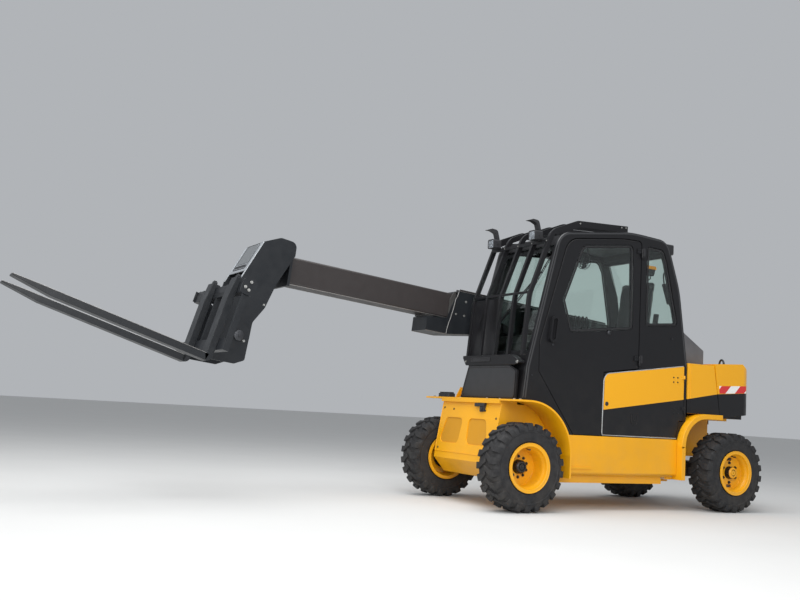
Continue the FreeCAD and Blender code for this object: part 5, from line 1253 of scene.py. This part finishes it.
# %% Carriage bolts, teeth and stops
bolts = Piece()
for left, back, up, size in ((492, -292, 218, 9), (492, -262, 262, 9), (492, -262, 204, 9)):
    bolts.bolt("x", back, up, left, size)
for side, face in ((1, -440 + 205 + 5 + 18), (-1, -440 - 205 - 5 - 18)):
    for back, up in ((52, -24), (-66, -20)):
        bolts.bolt("x", back, up, face, side * 8)
bolts.hang("carriage_bolts", "carriage", ZINC, CARRIAGE_FRAME)
notches = Piece()
notches.plate("y", [(-620, 269), (-604, 269), (-604, 276), (-620, 276)], -288, -262).row(12, (92, 0, 0))
notches.hang("fork_stop_teeth", "carriage", STEEL, CARRIAGE_FRAME, soft=0.001)
stops = Piece()
for left in (-668, 470):
    stops.plate("y", oblong(left - 6, left + 8, 190, 274, 4), -304, -290)
stops.hang("carriage_end_stops", "carriage", STEEL, CARRIAGE_FRAME, soft=0.001)

# %% [markdown]
# Each fork has a spring latch at its hook and edges worn bright by use.

# %% Fork latches and worn edges
latches = Piece()
for middle in (-265, 265):
    outline = [(middle - 26, 292, 5), (middle + 26, 292, 5), (middle + 20, 322, 9), (middle - 20, 322, 9)]
    latches.plate("y", bent(outline),
                  -312, -282)
    latches.turned("z", middle, -297, [(318, 3), (318, 11), (326, 13), (330, 11), (330, 3)], 24)
latches.hang("fork_latches", "carriage", STEEL, CARRIAGE_FRAME, soft=0.001)
wear = Piece()
for middle in (-265, 265):
    wear.plate("y", oblong(middle - 40, middle + 40, -300, -296, 1.5, 3), -330, -328)
    for side in (1, -1):
        edge = middle + side * 57
        wear.rod([(edge, -341, -277), (edge, -900, -262), (edge, -1500, -247), (edge, -1683, -245)], 1.6, 6)
wear.hang("fork_worn_edges", "carriage", WORN_EDGE_AND_HIGHLIGHT, CARRIAGE_FRAME)

# %% [markdown]
# Panes sit in rubber, and a black band is printed on the glass behind it. Both follow the
# pane's own outline, moved in or out.

# %% Pane outlines and seals
DOOR_PANE = [(378, 1690, 30), (464, 1439, 40), (1116, 1519, 30), (1097, 2224, 30), (565, 2156, 80)]
QUARTER_PANE = [(1274, 1562, 30), (1630, 1596, 30), (1490, 2122, 50), (1446, 2226, 50), (1274, 2238, 30)]
FAR_PANE = [(236, 1414, 60), (1616, 1482, 60), (1490, 2122, 60), (1434, 2222, 70), (440, 2170, 120)]
CAB_SIDE = [(1763, 640, 0), (1763, 1250, 40), (1655, 1900, 500), (1500, 2320, 130), (1080, 2344, 900),
            (320, 2240, 150), (46, 1129, 40), (20, 870, 0)]
SCREEN_FRAME = leaning(0, 123, 1226, 13.82)
SCREEN_LENGTH = 950

for name, body, corners, face, out in (
    ("door", "door", DOOR_PANE, 569, 1),
    ("quarter", "chassis", QUARTER_PANE, 571, 1),
    ("far", "chassis", FAR_PANE, -261, -1),
):
    seal = Piece()
    seal.surround("x", bent(inset(corners, -2)), bent(inset(corners, 9)), face - out * 0.5, face + out * 3.2)
    seal.hang(name + "_pane_seal", body, RUBBER, soft=0.0014)
    band = Piece()
    band.surround("x", bent(inset(corners, 8)), bent(inset(corners, 17)), face - out * 0.3, face + out * 0.5)
    band.hang(name + "_pane_band", body, BAND)
screen = Piece()
outer = oblong(-216, 526, 1, SCREEN_LENGTH - 1, 6)
screen.surround("y", outer, oblong(-188, 498, 40, SCREEN_LENGTH - 46, 40), -2.4, 0.4)
screen.hang("windscreen_band", "chassis", BAND, SCREEN_FRAME)

# %% [markdown]
# The cab's side frames end in a rolled tube that catches the light all round the door, and a
# rubber closes the door's gap. The tube's paint is a lighter copy of the black, a painted sheen.

# %% Rolled pillar edges and door rubber
for name, left in (("left", 561), ("right", -251)):
    edge = bent(inset(CAB_SIDE, 13), 8)
    start = edge.index(min(edge, key=lambda p: (p[1], -p[0])))
    edge = edge[start:] + edge[:start]
    path = [(left, back, up) for back, up in edge if up > 700]
    tube = Piece()
    tube.rod(path, 15.5, 16)
    tube.hang("pillar_edge_" + name, "chassis", PILLAR_SHEEN)
rubber_line = inset([(170, 640, 0), (815, 640, 0), (824, 1134, 0), (1198, 1187, 0), (1198, 2276, 40),
                     (1000, 2272, 500), (410, 2196, 150), (154, 1330, 150), (160, 1097, 0)], 4)
line = [(572.5, back, up) for back, up in bent(rubber_line, 8)]
seal = Piece()
seal.rod([p for p in line if p[2] > 1150 and p[1] < 1190], 3.2, 8)
seal.hang("door_edge_rubber", "door", RUBBER)

# %% [markdown]
# The door has a round catch, a lock low in front, and hinges with screws under covers on the
# pillar.

# %% Door fittings
catch = Piece()
catch.turned("x", 866, 1462, [(572, 5), (572, 19), (578, 19), (586, 14), (589, 8), (589, 5)], 32)
catch.plate("x", bent([(850, 1440, 5), (884, 1444, 5), (878, 1478, 8), (856, 1476, 8)]), 572, 577)
catch.hang("door_catch", "door", DARK_STEEL, soft=0.0008)
lock = Piece()
lock.turned("x", 286, 1316, [(572, 3), (572, 10), (577, 10), (578.5, 8), (578.5, 3)], 24)
lock.disc("x", 286, 1316, 4, 572, 577, 16)
lock.hang("door_lock", "door", DARK_STEEL)
screws = Piece()
for up in (1262, 1284, 2182, 2204):
    for back in (1158, 1178):
        screws.bolt("x", back, up, 583, 4.5)
screws.hang("door_hinge_screws", "door", DARK_STEEL)
covers = Piece()
for up in (1233, 2153):
    covers.plate("x", oblong(1212, 1236, up, up + 66, 8), 573, 585)
covers.hang("hinge_covers", "chassis", PLASTIC, soft=0.002)
studs = Piece()
studs.bolt("x", 1577, 1471, 575, 8)
studs.bolt("x", 88, 1059, 575, 6)
studs.hang("cab_side_studs", "chassis", DARK_STEEL)

# %% [markdown]
# The guard of five bars stands on feet on the shelf and is bolted at the roof.

# %% Guard bolts and feet
bolts = Piece()
for side, face in ((1, 527), (-1, -283)):
    for back, up in ((1060, 2383), (1010, 2380), (560, 2350)):
        bolts.bolt("x", back, up, face, side * 6)
for index in range(5):
    middle = -270 + 196 * index
    bolts.bolt("y", middle, 2163, 225, -5)
    bolts.bolt("z", middle - 24, 32, 1218, 6)
    bolts.bolt("z", middle + 24, 32, 1218, 6)
bolts.hang("guard_bolts", "chassis", ZINC)
feet = Piece()
for index in range(5):
    middle = -270 + 196 * index
    feet.plate("z", oblong(middle - 36, middle + 36, 18, 46, 5), 1217.5, 1222)
feet.hang("guard_feet", "chassis", BLACK, soft=0.001)

# %% [markdown]
# A work lamp is a bezel, a ribbed reflector and a lens. Two face forward under their visors and
# one faces back.

# %% Work lamps
bezels = Piece()
mirrors = Piece()
lenses = Piece()
cables = Piece()
for left, low, face, out, half, high in (
    (-172, 2168, 150, -1, 45, 82),
    (420, 2168, 150, -1, 45, 82),
    (455, 2226, 1640, 1, 45, 92),
):
    bezels.surround("y", oblong(left - half, left + half, low, low + high, 15),
                    oblong(left - half + 7, left + half - 7, low + 7, low + high - 7, 10), face - out, face + out * 6)
    mirrors.plate("y", oblong(left - half + 6, left + half - 6, low + 6, low + high - 6, 10), face - out, face + out)
    mirrors.plate("y", oblong(left - half + 9, left - half + 13, low + 9, low + high - 9, 1, 2), face, face + out * 2.4)
    mirrors.row(9, (8.4, 0, 0))
    lenses.plate("y", oblong(left - half + 6.5, left + half - 6.5, low + 6.5, low + high - 6.5, 10),
                 face + out * 3, face + out * 4.5)
for left in (-172, 420):
    cables.rod([(left + 30, 224, 2200), (left + 34, 236, 2196), (left + 40, 246, 2180), (left + 46, 250, 2172)], 4, 8)
    for side in (-1, 1):
        cables.bolt("x", 190, 2209, left + side * 45, side * 7)
bezels.hang("lamp_bezels", "chassis", PLASTIC, soft=0.0012)
mirrors.hang("lamp_reflectors", "chassis", SILVER)
lenses.hang("lamp_lenses", "chassis", LENS)
cables.hang("lamp_cables", "chassis", RUBBER)

# %% [markdown]
# The wiper lies over the windscreen: a pivot, a tapering arm with its hose, a blade on a bridge
# of clips, and its motor behind the glass.

# %% Wiper
arm = Piece()
arm.turned("y", -40, 250, [(-34, 4), (-34, 16), (-30, 19), (-12, 19), (-10, 26), (-2, 26), (-2, 4)], 32)
arm.plate("y", [(-52, 246), (-28, 254), (388, 700), (398, 712), (406, 702), (396, 690)], -30, -23)
arm.rod([(-20, -36, 276), (150, -37, 456), (300, -30, 614)], 4, 10)
arm.disc("x", -24, 706, 8, 386, 414, 16)
arm.hang("wiper_arm", "chassis", PLASTIC, SCREEN_FRAME, soft=0.0012)
blade = Piece()
blade.rod([(318, -18, 560), (350, -21, 618), (400, -23, 706), (446, -21, 792), (478, -18, 850)], 4.5, 8)
blade.rod([(316, -9, 556), (400, -9, 706), (480, -9, 854)], 2.8, 8)
for left, up in ((330, 582), (372, 657), (428, 758), (466, 828)):
    blade.block((left - 4, left + 4), (-20, -8), (up - 5, up + 5))
blade.hang("wiper_blade", "chassis", RUBBER, SCREEN_FRAME)
motor = Piece()
motor.plate("y", oblong(-76, 8, 206, 286, 14), 8, 62)
motor.disc("y", -40, 250, 12, -3, 12)
motor.hang("wiper_motor", "chassis", PLASTIC, SCREEN_FRAME, soft=0.003)

# %% [markdown]
# The cushions of the seat replace two plain solids. A real cushion is a cover that foam pushes
# out between its seams, so each pad is a closed cloth blown up by pressure from a shape a
# little smaller than the solid. These helpers make the mesh even, run the cloth and keep what
# comes out of it.

# %% Swelling a cushion
SEAT_LEFT = 155
SEAT_BACK = 1060
SEAT_UP = 1330


def remeshed(obj, size):
    step = obj.modifiers.new("even_mesh", "REMESH")
    step.mode = "VOXEL"
    step.voxel_size = size
    settled(obj)


def settled(obj):
    """The object's modifiers become its mesh."""
    graph = bpy.context.evaluated_depsgraph_get()
    data = bpy.data.meshes.new_from_object(obj.evaluated_get(graph))
    obj.modifiers.clear()
    obj.data = data


def swell(obj, reach, pressure=4.0):
    """Blow the cushion up like stuffed cloth. No point moves further than reach."""
    remeshed(obj, 0.006)
    start = [vert.co.copy() for vert in obj.data.vertices]
    cloth = obj.modifiers.new("stuffed", "CLOTH")
    cloth.settings.use_pressure = True
    cloth.settings.uniform_pressure_force = pressure
    cloth.settings.effector_weights.gravity = 0
    for step in range(1, 21):
        scene.frame_set(step)
    settled(obj)
    scene.frame_set(1)
    for vert, place in zip(obj.data.vertices, start):
        moved = vert.co - place
        if moved.length > reach:
            vert.co = place + moved * (reach / moved.length)

# %% [markdown]
# Where the pad rests it stays flat, and sewn channels pull its cover in.

# %% Flat rests and sewn channels
def rest_flat(obj, point, normal):
    """Push what bulges out through a plane back onto it."""
    for vert in obj.data.vertices:
        over = (vert.co - point).dot(normal)
        if over > 0:
            vert.co -= normal * over


def pinch(obj, frame, lines, depth, width):
    """Sewn channels: grooves along lines across the seat, given in the frame's own plane."""
    back = frame.inverted()
    for vert in obj.data.vertices:
        place = back @ vert.co
        sunk = 0.0
        for low, high in lines:
            run = high - low
            share = max(0.0, min(1.0, (Vector((place.x, place.z)) - low).dot(run) / run.length_squared))
            gap = (Vector((place.x, place.z)) - (low + run * share)).length
            sunk = max(sunk, math.exp(-(gap / width) ** 2))
        if place.y < 0:
            vert.co += (frame.to_3x3() @ Vector((0, 1, 0))) * (sunk * depth)

# %% [markdown]
# The start is a loft through six sections that narrow towards the flanks.

# %% Seat cushions
def cushion(name, rows, low, high):
    """Pad from a side outline, narrower towards its rounded flanks."""
    piece = Piece()
    rings = []
    for share, narrow in ((0.0, 16), (0.04, 6), (0.12, 0), (0.88, 0), (0.96, 6), (1.0, 16)):
        left = low + (high - low) * share
        rings.append([spot("x", a, u, left) for a, u in bent(inset(rows, 12 + narrow))])
    piece.loft(rings)
    return piece.hang(name, "chassis", FABRIC)

seat = cushion("seat_pad", [(1060, 1330, 40), (1540, 1330, 14), (1540, 1425, 14), (1430, 1425, 14), (1080, 1450, 50)],
               SEAT_LEFT - 226, SEAT_LEFT + 226)
back = cushion("back_pad", [(1442, 1440, 20), (1534, 1440, 20), (1602, 2010, 36), (1522, 2010, 36)],
               SEAT_LEFT - 206, SEAT_LEFT + 206)
seat_plane = leaning(SEAT_LEFT, 1260, 1440) @ Matrix.Rotation(math.radians(-90 - 4), 4, "X")
back_plane = leaning(SEAT_LEFT, 1482, 1440, 7.5)
swell(seat, 0.022)
swell(back, 0.022)
flat = (HOME @ Vector((0, 0, SEAT_UP + 0.4)), Vector((0, 0, -1)))
rest_flat(seat, *flat)
channels = [(Vector((-118, -230)), Vector((-118, 230))), (Vector((118, -230)), Vector((118, 230))),
            (Vector((-118, -60)), Vector((118, -60))), (Vector((-118, 70)), Vector((118, 70)))]
pinch(seat, seat_plane, channels, 0.011, 7)
channels = [(Vector((-112, 30)), Vector((-112, 400))), (Vector((112, 30)), Vector((112, 400))),
            (Vector((-150, 400)), Vector((150, 400))),
            (Vector((-112, 150)), Vector((112, 150))), (Vector((-112, 270)), Vector((112, 270)))]
pinch(back, back_plane, channels, 0.011, 7)
for pad in (seat, back):
    pad.data.shade_smooth()
    finer = pad.modifiers.new("finer", "SUBSURF")
    finer.levels = finer.render_levels = 1
for pad in (seat, back):
    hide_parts("seat_cushions")

# %% [markdown]
# Recliner plates at both sides, belt buckles, and the slides under the seat.

# %% Seat fittings
shell = Piece()
for side in (1, -1):
    left = SEAT_LEFT + side * 214
    shell.plate("x", bent([(1500, 1400, 10), (1560, 1400, 10), (1604, 1700, 10), (1552, 1700, 10)]),
                left, left + side * 14)
    shell.disc("x", 1512, 1408, 26, left, left + side * 22, sides=28)
shell.hang("seat_recliner", "chassis", PLASTIC, soft=0.002)
belt = Piece()
belt.plate("x", oblong(1446, 1476, 1330, 1462, 8), -112, -98)
belt.plate("x", oblong(1452, 1470, 1458, 1500, 5), -110, -100)
belt.plate("x", oblong(1444, 1474, 1262, 1332, 6), 402, 414)
belt.hang("seat_belt_buckles", "chassis", PLASTIC, soft=0.0015)
slides = Piece()
for side in (1, -1):
    left, right = SEAT_LEFT + side * 206, SEAT_LEFT + side * 226
    slides.block((left, right), (1090, 1480), (1262, 1284))
    slides.bolt("z", (left + right) / 2, 1110, 1284, 6)
    slides.bolt("z", (left + right) / 2, 1460, 1284, 6)
slides.hang("seat_slides", "chassis", DARK_STEEL, soft=0.001)

# %% [markdown]
# The steering wheel gets its hub cap, a spinner knob and the stalks under it. They share the
# wheel's leaning frame.

# %% Wheel cap, knob and stalks
wheel = leaning(SEAT_LEFT, 600, 1520, -28)
cap = Piece()
cap.turned("z", 0, 0, [(10, 4), (10, 34), (16, 33), (21, 26), (23, 4)], 36)
for across, up in ((110, 0), (0, 110), (-110, 0)):
    cap.disc("z", across, up, 9, -6, -1, 16)
cap.hang("wheel_cap", "chassis", GREY_PLASTIC, wheel, soft=0.0015)
knob = Piece()
knob.rod([(-124, -124, 6), (-124, -124, 34)], 6, 12)
knob.turned("z", -124, -124, [(26, 3), (30, 18), (44, 22), (58, 16), (62, 3)], 28)
knob.hang("wheel_knob", "chassis", PLASTIC, wheel, soft=0.001)
stalks = Piece()
for side in (1, -1):
    stalks.rod([(side * 24, 0, -62), (side * 120, -6, -56), (side * 168, -10, -46)], 6, 12)
    stalks.rod([(side * 150, -9, -50), (side * 178, -11, -44)], 9, 12)
stalks.turned("z", 0, 0, [(-96, 27), (-96, 38), (-40, 40), (-36, 27)], 32)
stalks.hang("column_stalks", "chassis", PLASTIC, wheel, soft=0.0015)

# %% [markdown]
# A small dash stands behind the wheel with two dials and a column of warning lamps.

# %% Dash
dash = Piece()
dash.plate("x", bent([(392, 1374, 8), (340, 1424, 8), (334, 1480, 14), (402, 1452, 14)]), 60, 250)
dash.hang("dash_housing", "chassis", PLASTIC, soft=0.003)
face = leaning(SEAT_LEFT, 404, 1416, 0) @ Matrix.Rotation(math.radians(-22), 4, "X")
dials = Piece()
for left in (-56, 56):
    dials.turned("y", left, 0, [(-6, 22), (-6, 27), (3, 28), (5, 25), (1, 22)], 32)
    dials.disc("y", left, 0, 22, -6, -1, 28)
    dials.block((left - 1, left + 1), (-2, 0.5), (-2, 17))
dials.plate("y", oblong(-10, 10, -26, -18, 2, 2), -4, 1).row(5, (0, 0, 12))
dials.hang("dash_dials", "chassis", GREY_PLASTIC, face, soft=0.0006)

# %% [markdown]
# The boom is worked by a row of levers on a box at the seat's right.

# %% Lever box
lever_box = Piece()
lever_box.plate("x", bent([(1020, 1262, 12), (1420, 1262, 12), (1420, 1520, 40), (1120, 1560, 40), (1040, 1500, 60)]),
          -190, -100)
lever_box.hang("lever_box", "chassis", PLASTIC, soft=0.004)
levers = Piece()
for index in range(4):
    back = 1110 + 44 * index
    levers.rod([(-146, back, 1552), (-146, back - 6, 1604), (-146, back - 20, 1634)], 4.5, 12)
levers.hang("control_levers", "chassis", DARK_STEEL)
knobs = Piece()
for index in range(4):
    back = 1088 + 44 * index
    knobs.turned("z", -146, back, [(1628, 4), (1630, 11), (1650, 14), (1666, 11), (1671, 4)], 24)
knobs.turned("z", -146, 1090, [(1553, 12), (1553, 22), (1560, 20), (1562, 12)], 24)
knobs.hang("control_knobs", "chassis", PLASTIC)

# %% [markdown]
# Pedals with ribbed pads, and a ribbed rubber mat under them.

# %% Pedals and floor mat
pedals = Piece()
for left, wide in ((30, 34), (120, 40), (236, 34)):
    pedals.plate("x", bent([(470, 900, 4), (478, 890, 4), (560, 948, 4), (553, 957, 4)]), left - wide, left + wide)
    pedals.block((left - wide + 6, left + wide - 6), (482, 487), (912, 917)).row(5, (0, 15, 10.6))
    pedals.rod([(left, 508, 925), (left, 470, 960), (left, 380, 1040)], 8, 12)
pedals.hang("pedals", "chassis", DARK_STEEL, soft=0.001)
mat = Piece()
mat.plate("z", oblong(-190, 500, 350, 820, 20), 850.5, 856)
mat.block((-180, 490), (364, 370), (855, 858.5)).row(30, (0, 15, 0))
mat.hang("floor_mat", "chassis", RUBBER, soft=0.001)

# %% [markdown]
# The roof is lined with a curved sheet.

# %% Roof lining
lining = Piece()
lining.plate("x", bent([(470, 2196, 6), (1080, 2268, 600), (1440, 2256, 6), (1440, 2267, 4), (1080, 2280, 600),
                        (470, 2206, 4)]), -206, 516)
lining.hang("roof_lining", "chassis", GREY_PLASTIC, soft=0.002)

# %% [markdown]
# A small fan hangs from the roof. Its guard is a set of rings, which are torus primitives, and
# 18 bent wires turned round the motor. Each of its four blades is a twisted loft.

# %% Cab fan
fan = Piece()
fan.turned("y", 0, 0, [(-14, 8), (-14, 20), (30, 24), (44, 18), (44, 8)], 28)
for radius, back in ((72, -20), (72, 14), (54, -26), (36, -28), (20, -29)):
    bpy.ops.object.select_all(action="DESELECT")
    bpy.ops.mesh.primitive_torus_add(major_radius=radius, minor_radius=2.2, major_segments=40, minor_segments=6)
    fan.keep(looking("y", 0, 0, back))
fan.rod([(8, -30, 0), (54, -26, 0), (72, -20, 0), (72, 14, 0), (22, 26, 0)], 1.6, 6).around(18, "y")
blade = []
for reach, twist in ((12, 0.9), (30, 0.7), (48, 0.5), (62, 0.35)):
    half = 6 + reach * 0.28
    wide = Vector((0, math.sin(twist), math.cos(twist)))
    thick = Vector((0, 1.2 * math.cos(twist), -1.2 * math.sin(twist)))
    out = Vector((reach, 0, 0))
    blade.append([out - wide * half - thick, out + wide * half - thick, out + wide * half + thick,
                  out - wide * half + thick])
fan.loft(blade).around(4, "y")
fan.rod([(0, 36, 0), (0, 40, 60), (0, 30, 132)], 7, 12)
fan.disc("z", 0, 30, 24, 128, 142)
fan.hang("cab_fan", "chassis", PLASTIC, leaning(200, 884, 2112))

# %% [markdown]
# In the rear quarter pane the photo shows an amber lamp on a bracket and a mirror on a bent
# arm.

# %% Amber lamp and inside mirror
amber = Piece()
amber.plate("x", bent([(1287, 2062, 8), (1425, 2062, 8), (1418, 2093, 12), (1294, 2093, 12)]), 500, 524)
amber.hang("amber_lamp", "chassis", AMBER, soft=0.003)
bracket = Piece()
bracket.plate("x", bent([(1300, 2063, 4), (1330, 2004, 12), (1390, 2004, 12), (1410, 2063, 4)]), 504, 526)
bracket.rod([(516, 1355, 2010), (526, 1352, 1980), (530, 1330, 1966)], 5, 10)
bracket.hang("amber_lamp_bracket", "chassis", PLASTIC, soft=0.002)
mirror = Piece()
mirror.plate("x", bent([(1579, 1963, 6), (1647, 1788, 10), (1664, 1792, 10), (1596, 1970, 6)]), 430, 470)
mirror.rod([(450, 1588, 1966), (470, 1560, 2010), (500, 1530, 2040), (526, 1512, 2048)], 6, 10)
mirror.rod([(450, 1650, 1795), (470, 1668, 1752), (505, 1690, 1728), (528, 1698, 1720)], 6, 10)
mirror.hang("inside_mirror", "chassis", PLASTIC, soft=0.002)

# %% [markdown]
# A grab rail by the door, and the belt's guide behind the seat.

# %% Grab rail and belt guide
rail = Piece()
rail.rod([(516, 250, 1610), (500, 246, 1612), (492, 262, 1640), (492, 330, 1900), (500, 352, 1968), (518, 358, 1990)],
         9, 12)
rail.hang("grab_rail", "chassis", PLASTIC)
guide = Piece()
guide.rod([(-150, 1500, 1262), (-150, 1530, 1300), (-152, 1570, 1380), (-156, 1600, 1500), (-160, 1590, 1640)], 11, 14)
guide.hang("belt_guide", "chassis", RUBBER)
for bit in BOLTS.values():
    remove(bit)

# %% [markdown]
# The machine stands on a wide pale floor that catches its shadow. The floor is staging.

# %% Floor
FLOOR_REACH = 60
bpy.ops.object.select_all(action="DESELECT")
bpy.ops.mesh.primitive_plane_add(size=2 * FLOOR_REACH)
floor = bpy.context.object
floor.name = floor.data.name = "floor"
made, tree, shader = new_material("pale_floor", Roughness=0.9)
tone = mix(tree, noise(tree, 1.2, 3), rgba((0.60, 0.60, 0.59)), rgba((0.64, 0.64, 0.63)))
tree.links.new(tone, shader.inputs["Base Color"])
floor.data.materials.append(made)
print("floor", 2 * FLOOR_REACH, "metres wide")

# %% [markdown]
# A bright overcast sky and three broad lamps light it evenly, so that a colour renders about as
# it is written. The largest lamp is overhead, and the side and front lamps open up the shadows.

# %% Light
def add_light(name, place, aim, size, power):
    data = bpy.data.lights.new(name, "AREA")
    data.size = size
    data.energy = power
    lamp = bpy.data.objects.new(name, data)
    lamp.location = place
    lamp.rotation_euler = (Vector(aim) - Vector(place)).to_track_quat("-Z", "Y").to_euler()
    scene.collection.objects.link(lamp)
world = bpy.data.worlds.new("studio")
world.use_nodes = True
sky = world.node_tree.nodes["Background"]
sky.inputs["Color"].default_value = (0.80, 0.83, 0.87, 1)
sky.inputs["Strength"].default_value = 0.55
scene.world = world
MIDDLE = (0, AXLE_Y, 1.0)
add_light("top_light", (1.0, -1.0, 7.0), MIDDLE, 6.0, 470)
add_light("side_light", (7.0, -3.0, 4.0), MIDDLE, 4.0, 330)
add_light("front_light", (1.0, -8.5, 3.0), MIDDLE, 4.0, 190)
scene.view_settings.view_transform = "Standard"
print("world strength", sky.inputs["Strength"].default_value, "and", len(bpy.data.lights), "lamps")
